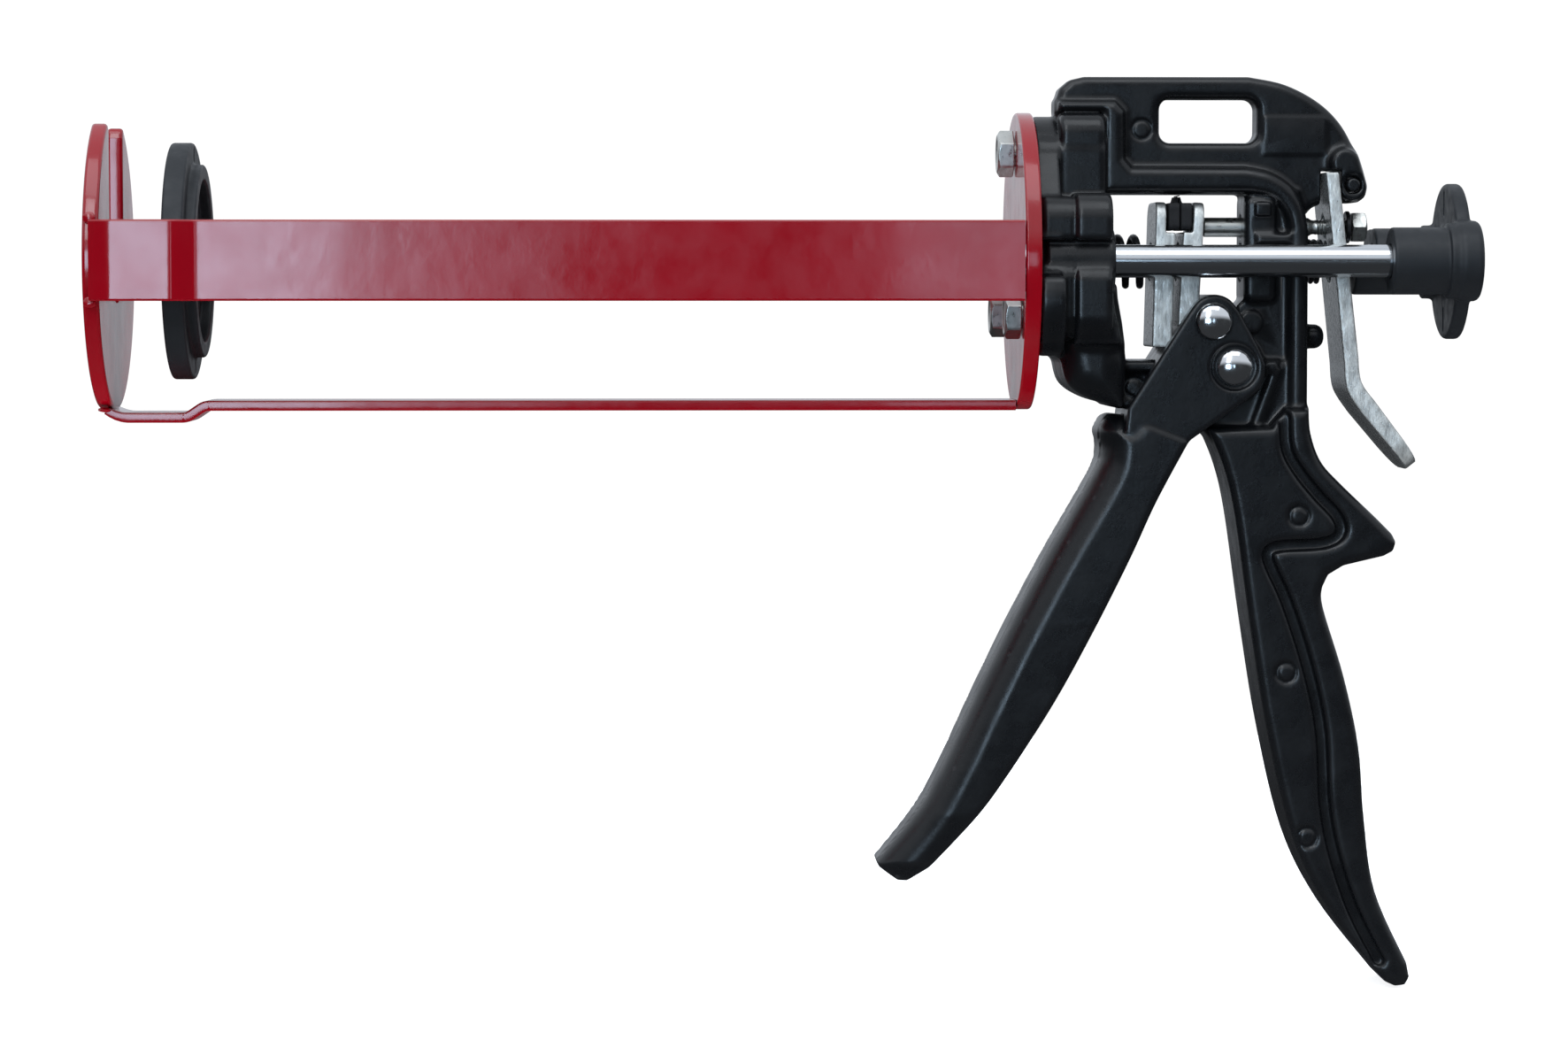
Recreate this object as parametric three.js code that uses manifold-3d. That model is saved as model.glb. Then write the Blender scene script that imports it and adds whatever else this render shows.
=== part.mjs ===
// Caulking gun for large coaxial cartridges, in millimetres, +Z up.
// The nozzle end points to -X and the grips hang down to -Z.
// Construction frame: X = 0 is the rear plate's front face, Z = 0 is the push rods' axis,
// Y = 0 is the mid-plane. At the end the group is moved so that the middle of its base is the origin.
import * as THREE from "three";
import { mergeVertices } from "three/addons/utils/BufferGeometryUtils.js";
import Module from "manifold-3d";

const wasm = await Module();
wasm.setup();

// ---------------------------------------------------------------- driving dimensions
const gap = 0.3; // left between pieces that touch or slide
const bayLength = 219.5; // between the inner faces of the two plates
const plateR = 36.4;
const plateT = 3.9;
const nozzleSlot = 26; // width of the slot in the front plate
const slotRise = 3.6; // the slot's round end is centred this far above the axis
const strapWidth = 19.2;
const strapT = 2.5;
const rodR = 4;
const rodPitch = 17; // side rods, either side of the centre rod
const bearing = 0.5; // radial clearance of the rods in the casting and plates
const boltCircle = plateR - 10.1; // the three bolts that hold the casting
const boltR = 3;
const boltFlats = 10;
const boltHead = 4;
const pistonR = plateR - 7.5; // clear of the straps and of the welds inside them
const pistonT = 5.2;
const pistonRest = 21.5; // from the front plate to the back of the piston hub
const rodSkirt = 4.2; // wall of the yoke's sockets round the rods
const driveHalf = rodPitch - rodR - 2.75; // half width of the drive plates, between the side rods
const driveT = 4.9;
const driveLean = [1.5, 3]; // degrees, front and rear plate
const cheekIn = driveHalf + 1.35; // inner face of the trigger's arms
const cheekT = 3.9;
const fulcrum = [52.6, -25.7]; // trigger pivot, X and Z
const pusher = [47.4, -14.6]; // roller that pushes the drive plates, X and Z
const fulcrumR = 3.4;
const pusherR = 2.4;
const rollerR = 3.1;
const rivetHeadR = 4.6;
const leverHalf = rodPitch - rodR - 1;
const leverT = 3.2;
const leverTop = [76.6, 21.6];
const leverBend = [82.3, -30.8];
const leverTip = [97.4, -50.1];
const dripR = 2.4;
const dripThreadR = 2;
const washerR = 4;
const washerT = 1.1;
const nutFlats = 7;
const nutT = 3.7;
const driveWireR = 0.9;
const catchWireR = 0.6;
const casting = { flange: 9.8, block: 21.8, column: 71.4 }; // X of the casting's main faces

const cheekOut = cheekIn + cheekT;
const gripHalf = cheekIn - 1.2; // the grip passes between the trigger's arms
const frontX = -bayLength;
const seatX = plateT + gap; // the casting's front face
const hubBack = frontX + pistonRest;
const hubFront = hubBack - 2.5;
const pistonFront = hubFront - pistonT;
const dripZ = rodR + washerR + 0.4; // height of the drip pin above the rods
const driveSpringR = rodR + driveWireR + 0.95;
const catchSpringR = rodR + catchWireR + 0.35;
const leverFall = (leverBend[0] - leverTop[0]) / (leverTop[1] - leverBend[1]);
const leverX = (z) => leverTop[0] + leverFall * (leverTop[1] - z); // middle of the lever at a height
const washerX = leverX(dripZ) + 3.46;
const nutX = washerX + washerT + gap;
const dripEnd = nutX + nutT + 0.4;
const driveRear = pusher[0] - rollerR - driveT / 2 + 0.75;
const driveFront = driveRear - driveT - 1.6;
const padsMeet = (driveFront + driveRear) / 2 + 0.5;
const springSeatX = 16.4; // bottom of the drive spring's seat in the casting
const driveSpringEnd = driveFront - driveT / 2 - 0.75;
const catchEnd = leverX(catchSpringR + catchWireR) - leverT / 2 - 0.55;
const bolts = [90, 210, 330].map((deg) => {
  const a = THREE.MathUtils.degToRad(deg);
  return [boltCircle * Math.cos(a), boltCircle * Math.sin(a)];
});

// ---------------------------------------------------------------- geometry helpers
// a closed three.js geometry as a solid that can be joined and cut
function solid(geometry) {
  geometry.deleteAttribute("normal");
  geometry.deleteAttribute("uv");
  const merged = mergeVertices(geometry, 1e-4);
  const vertProperties = new Float32Array(merged.attributes.position.array);
  const triVerts = new Uint32Array(merged.index.array);
  return new wasm.Manifold(new wasm.Mesh({ numProp: 3, vertProperties, triVerts }));
}

function join(...parts) {
  return parts.reduce((all, part) => all.add(part));
}

function cut(body, ...tools) {
  return tools.reduce((left, tool) => left.subtract(tool), body);
}

// points along a smooth curve through the given ones
function smooth(points, count) {
  const curve = new THREE.SplineCurve(points.map(([a, b]) => new THREE.Vector2(a, b)));
  return curve.getPoints(count).map((p) => [p.x, p.y]);
}

function circle(a, b, radius, count = 20) {
  return Array.from({ length: count }, (_, i) => {
    const t = (2 * Math.PI * (i + 0.5)) / count;
    return [a + radius * Math.cos(t), b + radius * Math.sin(t)];
  });
}

// convex outline round a cloud of points
function wrap(points) {
  const sorted = [...points].sort((p, q) => p[0] - q[0] || p[1] - q[1]);
  const turn = (o, p, q) => (p[0] - o[0]) * (q[1] - o[1]) - (p[1] - o[1]) * (q[0] - o[0]);
  const half = (list) => {
    const chain = [];
    for (const p of list) {
      while (chain.length > 1 && turn(chain.at(-2), chain.at(-1), p) <= 0) {
        chain.pop();
      }
      chain.push(p);
    }
    chain.pop();
    return chain;
  };
  return [...half(sorted), ...half(sorted.reverse())];
}

// rectangle with rounded corners
function rounded(a0, a1, b0, b1, radius) {
  const corners = [];
  for (const [i, [a, b]] of [[a1, b1], [a0, b1], [a0, b0], [a1, b0]].entries()) {
    const ca = a + (i === 0 || i === 3 ? -radius : radius);
    const cb = b + (i < 2 ? -radius : radius);
    for (const step of [0, 1, 2, 3]) {
      const t = ((i + step / 3) * Math.PI) / 2;
      corners.push([ca + radius * Math.cos(t), cb + radius * Math.sin(t)]);
    }
  }
  return corners;
}

function extruded(points, depth, bevel, segments) {
  const shape = new THREE.Shape(points.map(([a, b]) => new THREE.Vector2(a, b)));
  return new THREE.ExtrudeGeometry(shape, {
    depth: depth - 2 * bevel,
    bevelEnabled: bevel > 0,
    bevelThickness: bevel,
    bevelSize: bevel,
    bevelOffset: -bevel,
    bevelSegments: segments,
  });
}

// an outline in X and Z, extruded from y0 to y1
function alongY(points, y0, y1, bevel = 0, segments = 1) {
  const geometry = extruded(points, y1 - y0, bevel, segments);
  geometry.rotateX(Math.PI / 2);
  geometry.translate(0, y1 - bevel, 0);
  return solid(geometry);
}

// the same, centred on the mid-plane
function slab(points, half, bevel = 0, segments = 1) {
  return alongY(points, -half, half, bevel, segments);
}

// an outline in Y and Z, extruded from x0 to x1
function alongX(points, x0, x1, bevel = 0, segments = 1) {
  const geometry = extruded(points, x1 - x0, bevel, segments);
  const turn = new THREE.Matrix4().makeBasis(
    new THREE.Vector3(0, 1, 0),
    new THREE.Vector3(0, 0, 1),
    new THREE.Vector3(1, 0, 0),
  );
  geometry.applyMatrix4(turn);
  geometry.translate(x0 + bevel, 0, 0);
  return solid(geometry);
}

function box(x0, x1, y0, y1, z0, z1) {
  const geometry = new THREE.BoxGeometry(x1 - x0, y1 - y0, z1 - z0);
  geometry.translate((x0 + x1) / 2, (y0 + y1) / 2, (z0 + z1) / 2);
  return solid(geometry);
}

// a round bar along X at height z and offset y
function barX(radius, x0, x1, y = 0, z = 0, segments = 20) {
  return alongX(circle(y, z, radius, segments), x0, x1);
}

// a round bar along Y through the point (x, z)
function barY(radius, y0, y1, x, z, segments = 20) {
  return alongY(circle(x, z, radius, segments), y0, y1);
}

// a turned shape about the X axis: outline of [x, radius] pairs that starts and ends on the axis
function turned(outline, y = 0, z = 0, segments = 16) {
  const geometry = new THREE.LatheGeometry(outline.map(([x, r]) => new THREE.Vector2(r, x)), segments);
  geometry.rotateZ(-Math.PI / 2);
  geometry.translate(0, y, z);
  return solid(geometry);
}

// a skin over rings of points, closed at both ends
function loft(rings) {
  const count = rings[0].length;
  const points = rings.flat();
  const faces = [];
  for (let r = 0; r < rings.length - 1; r += 1) {
    for (let i = 0; i < count; i += 1) {
      const a = r * count + i;
      const b = r * count + ((i + 1) % count);
      faces.push(a, b, a + count, b, b + count, a + count);
    }
  }
  const last = (rings.length - 1) * count;
  for (let i = 1; i < count - 1; i += 1) {
    faces.push(0, i + 1, i);
    faces.push(last, last + i, last + i + 1);
  }
  const geometry = new THREE.BufferGeometry();
  geometry.setAttribute("position", new THREE.Float32BufferAttribute(points.flat(), 3));
  geometry.setIndex(faces);
  return solid(geometry);
}

// a coil spring round the X axis
class Coil extends THREE.Curve {
  constructor(x0, x1, radius, turns) {
    super();
    Object.assign(this, { x0, x1, radius, turns });
  }

  getPoint(t, target = new THREE.Vector3()) {
    const ends = THREE.MathUtils.smoothstep(t, 0, 1) * 0.35 + t * 0.65;
    const angle = 2 * Math.PI * this.turns * t;
    const x = this.x0 + (this.x1 - this.x0) * ends;
    return target.set(x, this.radius * Math.cos(angle), this.radius * Math.sin(angle));
  }
}

function spring(x0, x1, radius, wireR, turns) {
  const path = new Coil(x0 + wireR, x1 - wireR, radius, turns);
  const ring = new THREE.Shape(circle(0, 0, wireR, 6).map(([a, b]) => new THREE.Vector2(a, b)));
  const steps = Math.round(turns * 14);
  return solid(new THREE.ExtrudeGeometry(ring, { extrudePath: path, steps, bevelEnabled: false }));
}

// ---------------------------------------------------------------- materials
function look(color, roughness, metalness) {
  return new THREE.MeshStandardMaterial({ color, roughness, metalness });
}

const redPaint = look(0xa80c14, 0.22, 0);
const blackPaint = look(0x1b1b1c, 0.45, 0);
const blackPlastic = look(0x202123, 0.6, 0);
const rubber = look(0x161616, 0.85, 0);
const bright = look(0xc9cacc, 0.25, 1);
const zinc = look(0xaeb0a8, 0.4, 1);
const chrome = look(0xd4d6d8, 0.12, 1);
const springSteel = look(0x262629, 0.4, 0.8);

const gun = new THREE.Group();

function place(name, body, material) {
  const { vertProperties, triVerts } = body.getMesh();
  const geometry = new THREE.BufferGeometry();
  geometry.setAttribute("position", new THREE.Float32BufferAttribute(vertProperties, 3));
  geometry.setIndex([...triVerts]);
  geometry.computeVertexNormals();
  const mesh = new THREE.Mesh(geometry, material);
  mesh.name = name;
  gun.add(mesh);
}

// ---------------------------------------------------------------- cartridge frame
// disc with a slot from its centre up to the rim, where the cartridge's nozzle drops in
function frontPlate() {
  const half = nozzleSlot / 2;
  const rim = Math.asin(half / plateR);
  const outline = [];
  for (let i = 0; i <= 40; i += 1) {
    const t = Math.PI / 2 + rim + 0.03 + ((2 * Math.PI - 2 * rim - 0.06) * i) / 40;
    outline.push([plateR * Math.cos(t), plateR * Math.sin(t)]);
  }
  const slotTop = plateR * Math.cos(rim) - 1.6;
  outline.push([half, slotTop]);
  for (let i = 0; i <= 12; i += 1) {
    const t = -(Math.PI * i) / 12;
    outline.push([half * Math.cos(t), slotRise + half * Math.sin(t)]);
  }
  outline.push([-half, slotTop]);
  return alongX(outline, frontX - plateT, frontX, 0.3);
}

function rearPlate() {
  const disc = alongX(circle(0, 0, plateR, 44), 0, plateT, 0.3);
  const rods = [-rodPitch, 0, rodPitch].map((y) => barX(rodR + bearing, -1, plateT + 1, y));
  const holes = bolts.map(([y, z]) => barX(boltR + gap, -1, plateT + 1, y, z, 16));
  return cut(disc, ...rods, ...holes);
}

// joggled strip, flush with the rear plate's rim and lapped over the front plate's rim,
// drawn below the axis and turned about it to the side that it serves
function strap(turnDeg) {
  const inner = plateR - strapT;
  const lapped = plateR + gap;
  const outline = [
    [-gap, -inner],
    [-gap, -plateR],
    [frontX + 23.2, -plateR],
    [frontX + 17.2, -lapped - strapT],
    [frontX + 3, -lapped - strapT],
    [frontX - 2.2, -lapped - 0.9],
    [frontX - 2.2, -lapped],
    [frontX + 16.4, -lapped],
    [frontX + 22.4, -inner],
  ];
  const strip = slab(outline, strapWidth / 2, 0.35, 1);
  return strip.rotate([turnDeg, 0, 0]);
}

// hexagon bolt from the bay side into the casting
function bolt([y, z]) {
  const across = boltFlats / Math.sqrt(3);
  const head = Array.from({ length: 6 }, (_, i) => {
    const t = (Math.PI / 3) * (i + 0.61);
    return [y + across * Math.cos(t), z + across * Math.sin(t)];
  });
  return join(alongX(head, -boltHead - gap, -gap, 0.4), barX(boltR, -0.5, 16, y, z, 16));
}

// ---------------------------------------------------------------- piston and rods
function piston() {
  const hubR = pistonR - 5.3;
  const flange = alongX(circle(0, 0, pistonR, 40), pistonFront, hubFront, 0.5);
  const hub = alongX(circle(0, 0, hubR, 32), hubFront - 1, hubBack, 0.4);
  const recess = alongX(circle(0, 0, hubR - 3.8, 32), hubFront - 0.4, hubBack + 1);
  const bosses = [-rodPitch, 0, rodPitch].map((y) => barX(rodR + 3, hubFront - 1, hubBack - 0.4, y));
  const notches = [-1, 1].map((side) => {
    const [z0, z1] = side > 0 ? [hubR + 0.6, pistonR - 1.5] : [1.5 - pistonR, -hubR - 0.6];
    return box(hubFront - 1.2, hubFront + 1, -1.1, 1.1, z0, z1);
  });
  const body = cut(join(cut(join(flange, hub), recess), ...bosses), ...notches);
  const tools = [-rodPitch, 0, rodPitch].flatMap((y) => [
    barX(rodR + gap, pistonFront + 3.3, 0, y),
    barX(4.3, pistonFront - 1, pistonFront + 1.8, y, 0, 20),
    barX(2.4, pistonFront - 1, 0, y, 0, 12),
  ]);
  return cut(body, ...tools);
}

// socket-head screw that holds a rod in the piston
function pistonScrew(y) {
  const head = barX(3.9, pistonFront + 0.1, pistonFront + 1.5, y, 0, 20);
  const shank = barX(2, pistonFront + 1, pistonFront + 14, y, 0, 12);
  const socket = barX(1.5, pistonFront - 1, pistonFront + 0.9, y, 0, 6);
  return cut(join(head, shank), socket);
}

const rodFront = pistonFront + 3.3 + gap;
const rodBack = 108;

function rod(y) {
  const tapped = barX(2.3, rodFront - 1, rodFront + 14, y, 0, 12);
  return cut(alongX(circle(y, 0, rodR), rodFront, rodBack, 0.4), tapped);
}

// pull handle: three sockets on a round finger flange
function rearYoke() {
  const skirtR = rodR + rodSkirt;
  const centre = alongX(circle(0, 0, skirtR, 20), 83.3, 107, 0.5);
  const sleeves = [-rodPitch, rodPitch].map((y) => alongX(circle(y, 0, skirtR, 20), 90, 107, 0.4));
  const collars = [-rodPitch, rodPitch].map((y) => barX(skirtR + 1, 103.6, 106, y, 0, 20));
  const caps = [-rodPitch, rodPitch].map((y) => alongX(circle(y, 0, skirtR + 1.6, 20), 105.6, 111.5, 0.8));
  const middle = alongX(circle(0, 0, skirtR + 1.2, 20), 105.6, 111, 0.8);
  const disc = alongX(circle(0, 0, 19.15, 36), 106, 109.7, 0.6);
  const web = box(91, 110.5, -rodPitch, rodPitch, -rodR - 1, rodR + 1);
  const slots = [-1, 1].map((side) => {
    const [z0, z1] = side > 0 ? [11.4, 17] : [-17, -11.4];
    return box(105, 106.7, -0.5, 0.5, z0, z1);
  });
  const sockets = [-rodPitch, 0, rodPitch].map((y) => barX(rodR + gap, 80, rodBack + gap, y));
  const nutRoom = box(80, dripEnd + 1.3, -9, 9, rodR + 0.05, dripZ + washerR + 1);
  const body = join(centre, ...sleeves, ...collars, ...caps, middle, disc, web);
  return cut(body, ...sockets, ...slots, nutRoom);
}

// ---------------------------------------------------------------- casting
// thin carry handle with the hand slot, the lever's pocket and the nose behind it
function carryHandle() {
  const back = smooth([[57, 45], [66, 43.2], [74.5, 38.7], [80.6, 32.3], [84.4, 23.6], [86, 18]], 12);
  const outline = [
    [9.8, 18],
    [9.8, 38.8],
    [10.8, 42],
    [13.2, 44.2],
    [17, 45],
    ...back,
    [85.6, 15.9],
    [84, 14.8],
    [80.8, 14.8],
    [79.4, 16.4],
    [79.4, 22.8],
    [74.8, 22.8],
    [74.8, 15.6],
    [71, 12.4],
    [60, 12.4],
    [58, 18],
  ];
  const slot = slab(rounded(35.2, 59, 28.9, 39.6, 2.6), 9);
  return cut(slab(outline, 5.6, 1.4), slot);
}

// raised rounded rib that runs from the front block round the window and down the column
function rimRib() {
  const outline = [
    [10.2, 17.2],
    [10.2, 36.2],
    [13.2, 39.2],
    [23.6, 39.2],
    [26.8, 36],
    [26.8, 25],
    [28.8, 22.8],
    ...smooth([[58, 22.6], [65.4, 20.2], [70, 15.2], [71.4, 8.4]], 6),
    [71.4, -42],
    [66.6, -42],
    [66.6, 8],
    ...smooth([[66.2, 10.4], [63.2, 15], [57.6, 16.8]], 3),
    [22, 16.8],
  ];
  return slab(outline, 9.6, 2, 2);
}

// plate against the rear plate, and the block that carries the rods and bolts
function frontBlock() {
  const reach = plateR - 14.2; // from the axis to the middle of each rounded corner
  const lobes = [circle(0, reach, 13.1)];
  for (const side of [-1, 1]) {
    lobes.push(circle(side * (reach - 1.6), -9.6, 13.5));
  }
  const half = bolts[2][0] + boltR + 1.4;
  const flange = alongX(wrap(lobes.flat()), seatX, casting.flange + 0.2, 0.6);
  const top = alongX(rounded(-13, 13, 10, 39, 6), 9, casting.block, 1.6, 2);
  const rods = alongX(rounded(-half, half, -19.6, 16.4, 7), 9, casting.block, 1.6, 2);
  const band = [-1, 1].map((side) => {
    const [y0, y1] = side > 0 ? [half - 3, half + 5] : [-half - 5, 3 - half];
    const [g0, g1] = side > 0 ? [half - 0.9, half + 5] : [-half - 5, 0.9 - half];
    return [box(12, 30, y0, y1, -4.8, 6.4), box(8, 13.2, g0, g1, -40, 40)];
  });
  const block = cut(join(top, rods), ...band.flat());
  const bosses = [-rodPitch, rodPitch].map((y) => alongX(circle(y, 0, rodR + 4), 9, casting.block + 1.2, 1));
  return join(flange, block, ...bosses);
}

// underside of the front block, running back to the trigger's pivot
function chin() {
  const bottom = smooth([[10, -24], [12, -28.8], [16.2, -32.8], [24.4, -34.8]], 6);
  const outline = [...bottom, [26.2, -24.3], [25.4, -18], [23.8, -6], [10, -6]];
  const bar = [[24, -24.3], [71, -24.3], [71, -44], [48, -44], [44, -39.6], [24, -35.2]];
  const boss = barY(8, -cheekIn + gap, cheekIn - gap, fulcrum[0], fulcrum[1], 20);
  const ribs = [
    [[54, -31], [66, -9], [68, -9], [58, -31]],
    [[24.6, -24.3], [68, -24.3], [68, -27.4], [24.6, -27.4]],
  ];
  return join(
    slab(outline, 15.4, 3.4),
    slab(bar, 8.2, 1),
    boss,
    ...ribs.map((rib) => slab(rib, cheekIn - 0.6, 0.6, 1)),
  );
}

// upright behind the window, with the rod and pin guides and the lever's stop peg
function column() {
  const web = slab([[56.2, 17.4], [69, 17.4], [69, -42], [53.4, -42], [53.4, -11], [56.2, -8.4]], 7, 1);
  const guide = slab(rounded(56.2, 69.4, -9.4, 15.6, 2), rodPitch - rodR - 2, 1.4);
  const peg = turned([[68, 0], [68, 3], [74.2, 3], [75.7, 2.1], [76.3, 0]], 0, -18.4, 16);
  return join(web, guide, peg);
}

const gripBack = smooth(
  [[71.4, -40], [72.6, -45.4], [76.4, -51.2], [84, -58.8], [91.4, -66]],
  8,
);
const gripLower = smooth(
  [[75.2, -81], [77.2, -91.4], [81, -103.4], [83.8, -117], [85.4, -132], [87, -147], [92.6, -164.4]],
  12,
);

// pistol grip with the hook for the web of the hand
function grip() {
  const front = smooth(
    [[84, -169], [76.6, -159], [69.6, -145.6], [64.6, -130.4], [60.6, -110], [57, -88.4], [53.6, -66.4]],
    12,
  );
  const outline = [
    [62, -34],
    ...gripBack,
    [92.9, -68.6],
    [91.2, -71.4],
    [80, -74.2],
    [76, -77.2],
    ...gripLower,
    [96.8, -173.6],
    [94.8, -178.2],
    [90.6, -176.4],
    ...front,
    [52, -56.6],
    [50, -48.6],
    [46, -41],
    [46, -34],
  ];
  return slab(outline, gripHalf, 3, 2);
}

// raised rib along the back of the grip
function gripRib() {
  const inside = smooth(
    [[86.6, -163.6], [80, -147], [77.6, -132], [76.2, -117], [73.4, -103.4], [69.6, -91.4], [66, -80]],
    12,
  );
  const outline = [
    [66.8, -38],
    ...gripBack,
    [92.9, -68.6],
    [91.2, -71.4],
    [80, -74.2],
    [76, -77.2],
    ...gripLower,
    [95.4, -171.4],
    [90.4, -171.4],
    ...inside,
    [64, -73.4],
    [65.6, -69.8],
    [78.4, -69],
    [81.4, -67],
    [81, -63.6],
    [70.4, -53],
    [66.6, -46],
  ];
  return slab(outline, gripHalf + 2.2, 1.6);
}

function bodyCasting() {
  const nose = slab(wrap([...circle(81.9, 18.6, 4), ...circle(82.6, 24, 2)]), 8.6, 1.2);
  const noseCut = box(70, 79.4, -12, 12, 14, 22.8);
  const pocket = box(74.8, 79.4, -14, 14, 10, 22.8);
  const body = cut(
    join(carryHandle(), rimRib(), frontBlock(), chin(), column(), grip(), gripRib(), cut(nose, noseCut)),
    pocket,
  );
  const bores = [-rodPitch, rodPitch].map((y) => barX(rodR + bearing, 0, 30, y));
  const centre = barX(rodR + bearing, 0, 75, 0);
  const seatR = driveSpringR + driveWireR + 0.85;
  const springSeat = barX(seatR, springSeatX - 0.4, 30, 0, 0, 20);
  const drip = barX(dripR + gap, 50, 75, 0, dripZ, 16);
  const boltBores = bolts.map(([y, z]) => barX(boltR + gap, 0, 18, y, z, 16));
  const pivot = barY(fulcrumR + gap, -20, 20, fulcrum[0], fulcrum[1]);
  const pin = barY(2, -20, 20, 82.3, 18.6, 16);
  return cut(body, ...bores, centre, springSeat, drip, ...boltBores, pivot, pin);
}

function leverPin() {
  return alongY(circle(82.3, 18.6, 1.7, 16), -8.9, 8.9, 0.3, 1);
}

// ---------------------------------------------------------------- drive
// the two plates that grip the centre rod lean back a little, the rear one more
function drivePlate(xTop, leanDeg, rebateSide) {
  const top = 14.4;
  const bottom = -21;
  const outline = wrap([
    [-driveHalf, bottom],
    [driveHalf, bottom],
    ...circle(driveHalf - 4, top - 4, 4, 20),
    ...circle(4 - driveHalf, top - 4, 4, 20),
  ]);
  const plate = alongX(outline, -driveT / 2, driveT / 2, 0.4);
  const hole = barX(rodR + bearing, -9, 9, 0);
  const [x0, x1] = rebateSide > 0 ? [0.15, 9] : [-9, -0.15];
  const rebate = box(x0, x1, -20, 20, 7, 20);
  const body = cut(plate, hole, rebate).rotate([0, leanDeg, 0]);
  return body.translate([xTop, 0, 0]);
}

function drivePad(x0, x1) {
  return alongX(rounded(-driveHalf + 0.2, driveHalf - 0.2, 7.5, 14.3, 1.5), x0, x1, 0.3);
}

// ---------------------------------------------------------------- release lever and drip pin
// cranked strip that hangs from the casting's pocket and bites on the centre rod
function catchLever() {
  const h = leverT / 2;
  const outline = [
    [leverTop[0] - h, leverTop[1]],
    [leverBend[0] - h - 0.3, leverBend[1]],
    [leverTip[0] - 1.3, leverTip[1] - 1],
    [leverTip[0] + 1.3, leverTip[1] + 1],
    [leverBend[0] + h + 0.1, leverBend[1] + 1.4],
    [leverTop[0] + h, leverTop[1]],
  ];
  const strip = slab(outline, leverHalf, 0.3, 1);
  const rodHole = barX(rodR + 1, 60, 100, 0);
  const pinHole = barX(dripThreadR + 1, 60, 100, 0, dripZ, 16);
  return cut(strip, rodHole, pinHole);
}

function dripPin() {
  const front = driveRear + driveT / 2 + 1.15;
  const outline = [
    [front, 0],
    [front, dripR - 0.4],
    [front + 0.6, dripR],
    [72.6, dripR],
    [74, dripThreadR],
    [dripEnd - 0.4, dripThreadR],
    [dripEnd, dripThreadR - 0.4],
    [dripEnd, 0],
  ];
  return turned(outline, 0, dripZ);
}

function ring(outer, inner, x0, x1, z, sides = 24) {
  return cut(barX(outer, x0, x1, 0, z, sides), barX(inner, x0 - 1, x1 + 1, 0, z, 20));
}

// ---------------------------------------------------------------- trigger
// one section of the trigger, square to the line from its front edge to its back edge
function triggerRing([fx, fz, bx, bz, narrower], wall) {
  const length = Math.hypot(bx - fx, bz - fz);
  const ux = (bx - fx) / length;
  const uz = (bz - fz) / length;
  const w = cheekOut - narrower - wall;
  const deep = wall > 0 ? length + 3 : length;
  const side = [
    [wall, w * 0.42],
    [wall + 1.4, w * 0.72],
    [wall + 4, w * 0.93],
    [wall + 7.4, w],
    [deep, w],
  ];
  const profile = [...side, ...side.map(([t, y]) => [t, -y]).reverse()];
  return profile.map(([t, y]) => [fx + ux * t, y, fz + uz * t]);
}

// front edge, back edge and how much narrower than the arms, from the top down
const triggerStations = [
  [22.4, -37.8, 41.6, -43.4, 0],
  [20, -41.6, 40.2, -46.4, 0],
  [19.9, -47.4, 37.4, -51.2, 0],
  [16.4, -56, 33.6, -58.6, 0],
  [7.9, -70.7, 27.4, -72.4, 0],
  [-1.4, -88.2, 18.6, -90, 0.1],
  [-9.9, -105.7, 9, -107.6, 0.3],
  [-18, -123.2, -1.8, -124.6, 0.7],
  [-24, -134.6, -9.6, -135.4, 1.3],
  [-32.6, -144.8, -20.4, -146.8, 2.9],
  [-34, -147.2, -24.2, -149.8, 4.5],
  [-32, -149.8, -27, -151.4, 6.9],
];

function trigger() {
  const grip = loft(triggerStations.map((station) => triggerRing(station, 0)));
  const hollow = triggerStations.slice(1, 9).map((station) => triggerRing(station, 3.4));
  const armOutline = wrap([
    ...circle(pusher[0], pusher[1], 6.5, 20),
    ...circle(fulcrum[0], fulcrum[1], 7.6, 20),
    [26.6, -35.6],
    [41.8, -43.6],
    [32, -46],
    [24, -42],
  ]);
  const arms = [-1, 1].map((side) => {
    const [y0, y1] = side > 0 ? [cheekIn, cheekOut - 0.5] : [-cheekOut + 0.5, -cheekIn];
    return alongY(armOutline, y0, y1, 0.5, 1);
  });
  const body = join(cut(grip, loft(hollow)), ...arms);
  const recess = [-1, 1].map((side) => {
    const [y0, y1] = side > 0 ? [cheekOut - 1.1, 20] : [-20, -cheekOut + 1.1];
    return barY(5.6, y0, y1, fulcrum[0], fulcrum[1]);
  });
  const throat = slab(wrap([...circle(52.6, -25.7, 12, 20), [30, -36.2], [47, -50], [34, -42]]), cheekIn);
  const holes = [
    barY(fulcrumR + gap, -20, 20, fulcrum[0], fulcrum[1]),
    barY(pusherR + gap, -20, 20, pusher[0], pusher[1]),
  ];
  return cut(body, ...recess, throat, ...holes);
}

// round-headed rivet across the trigger's arms
function rivet([x, z], shankR, seat) {
  const headY = seat + gap;
  const dome = [
    [0, headY + 2.5],
    [2.1, headY + 2.1],
    [3.6, headY + 1.2],
    [rivetHeadR, headY],
    [shankR, headY],
    [shankR, 0],
  ];
  const outline = [...dome, ...dome.slice(0, -1).map(([r, y]) => [r, -y]).reverse()];
  const geometry = new THREE.LatheGeometry(outline.map(([r, y]) => new THREE.Vector2(r, y)).reverse(), 24);
  geometry.translate(x, 0, z);
  return solid(geometry);
}

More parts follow.
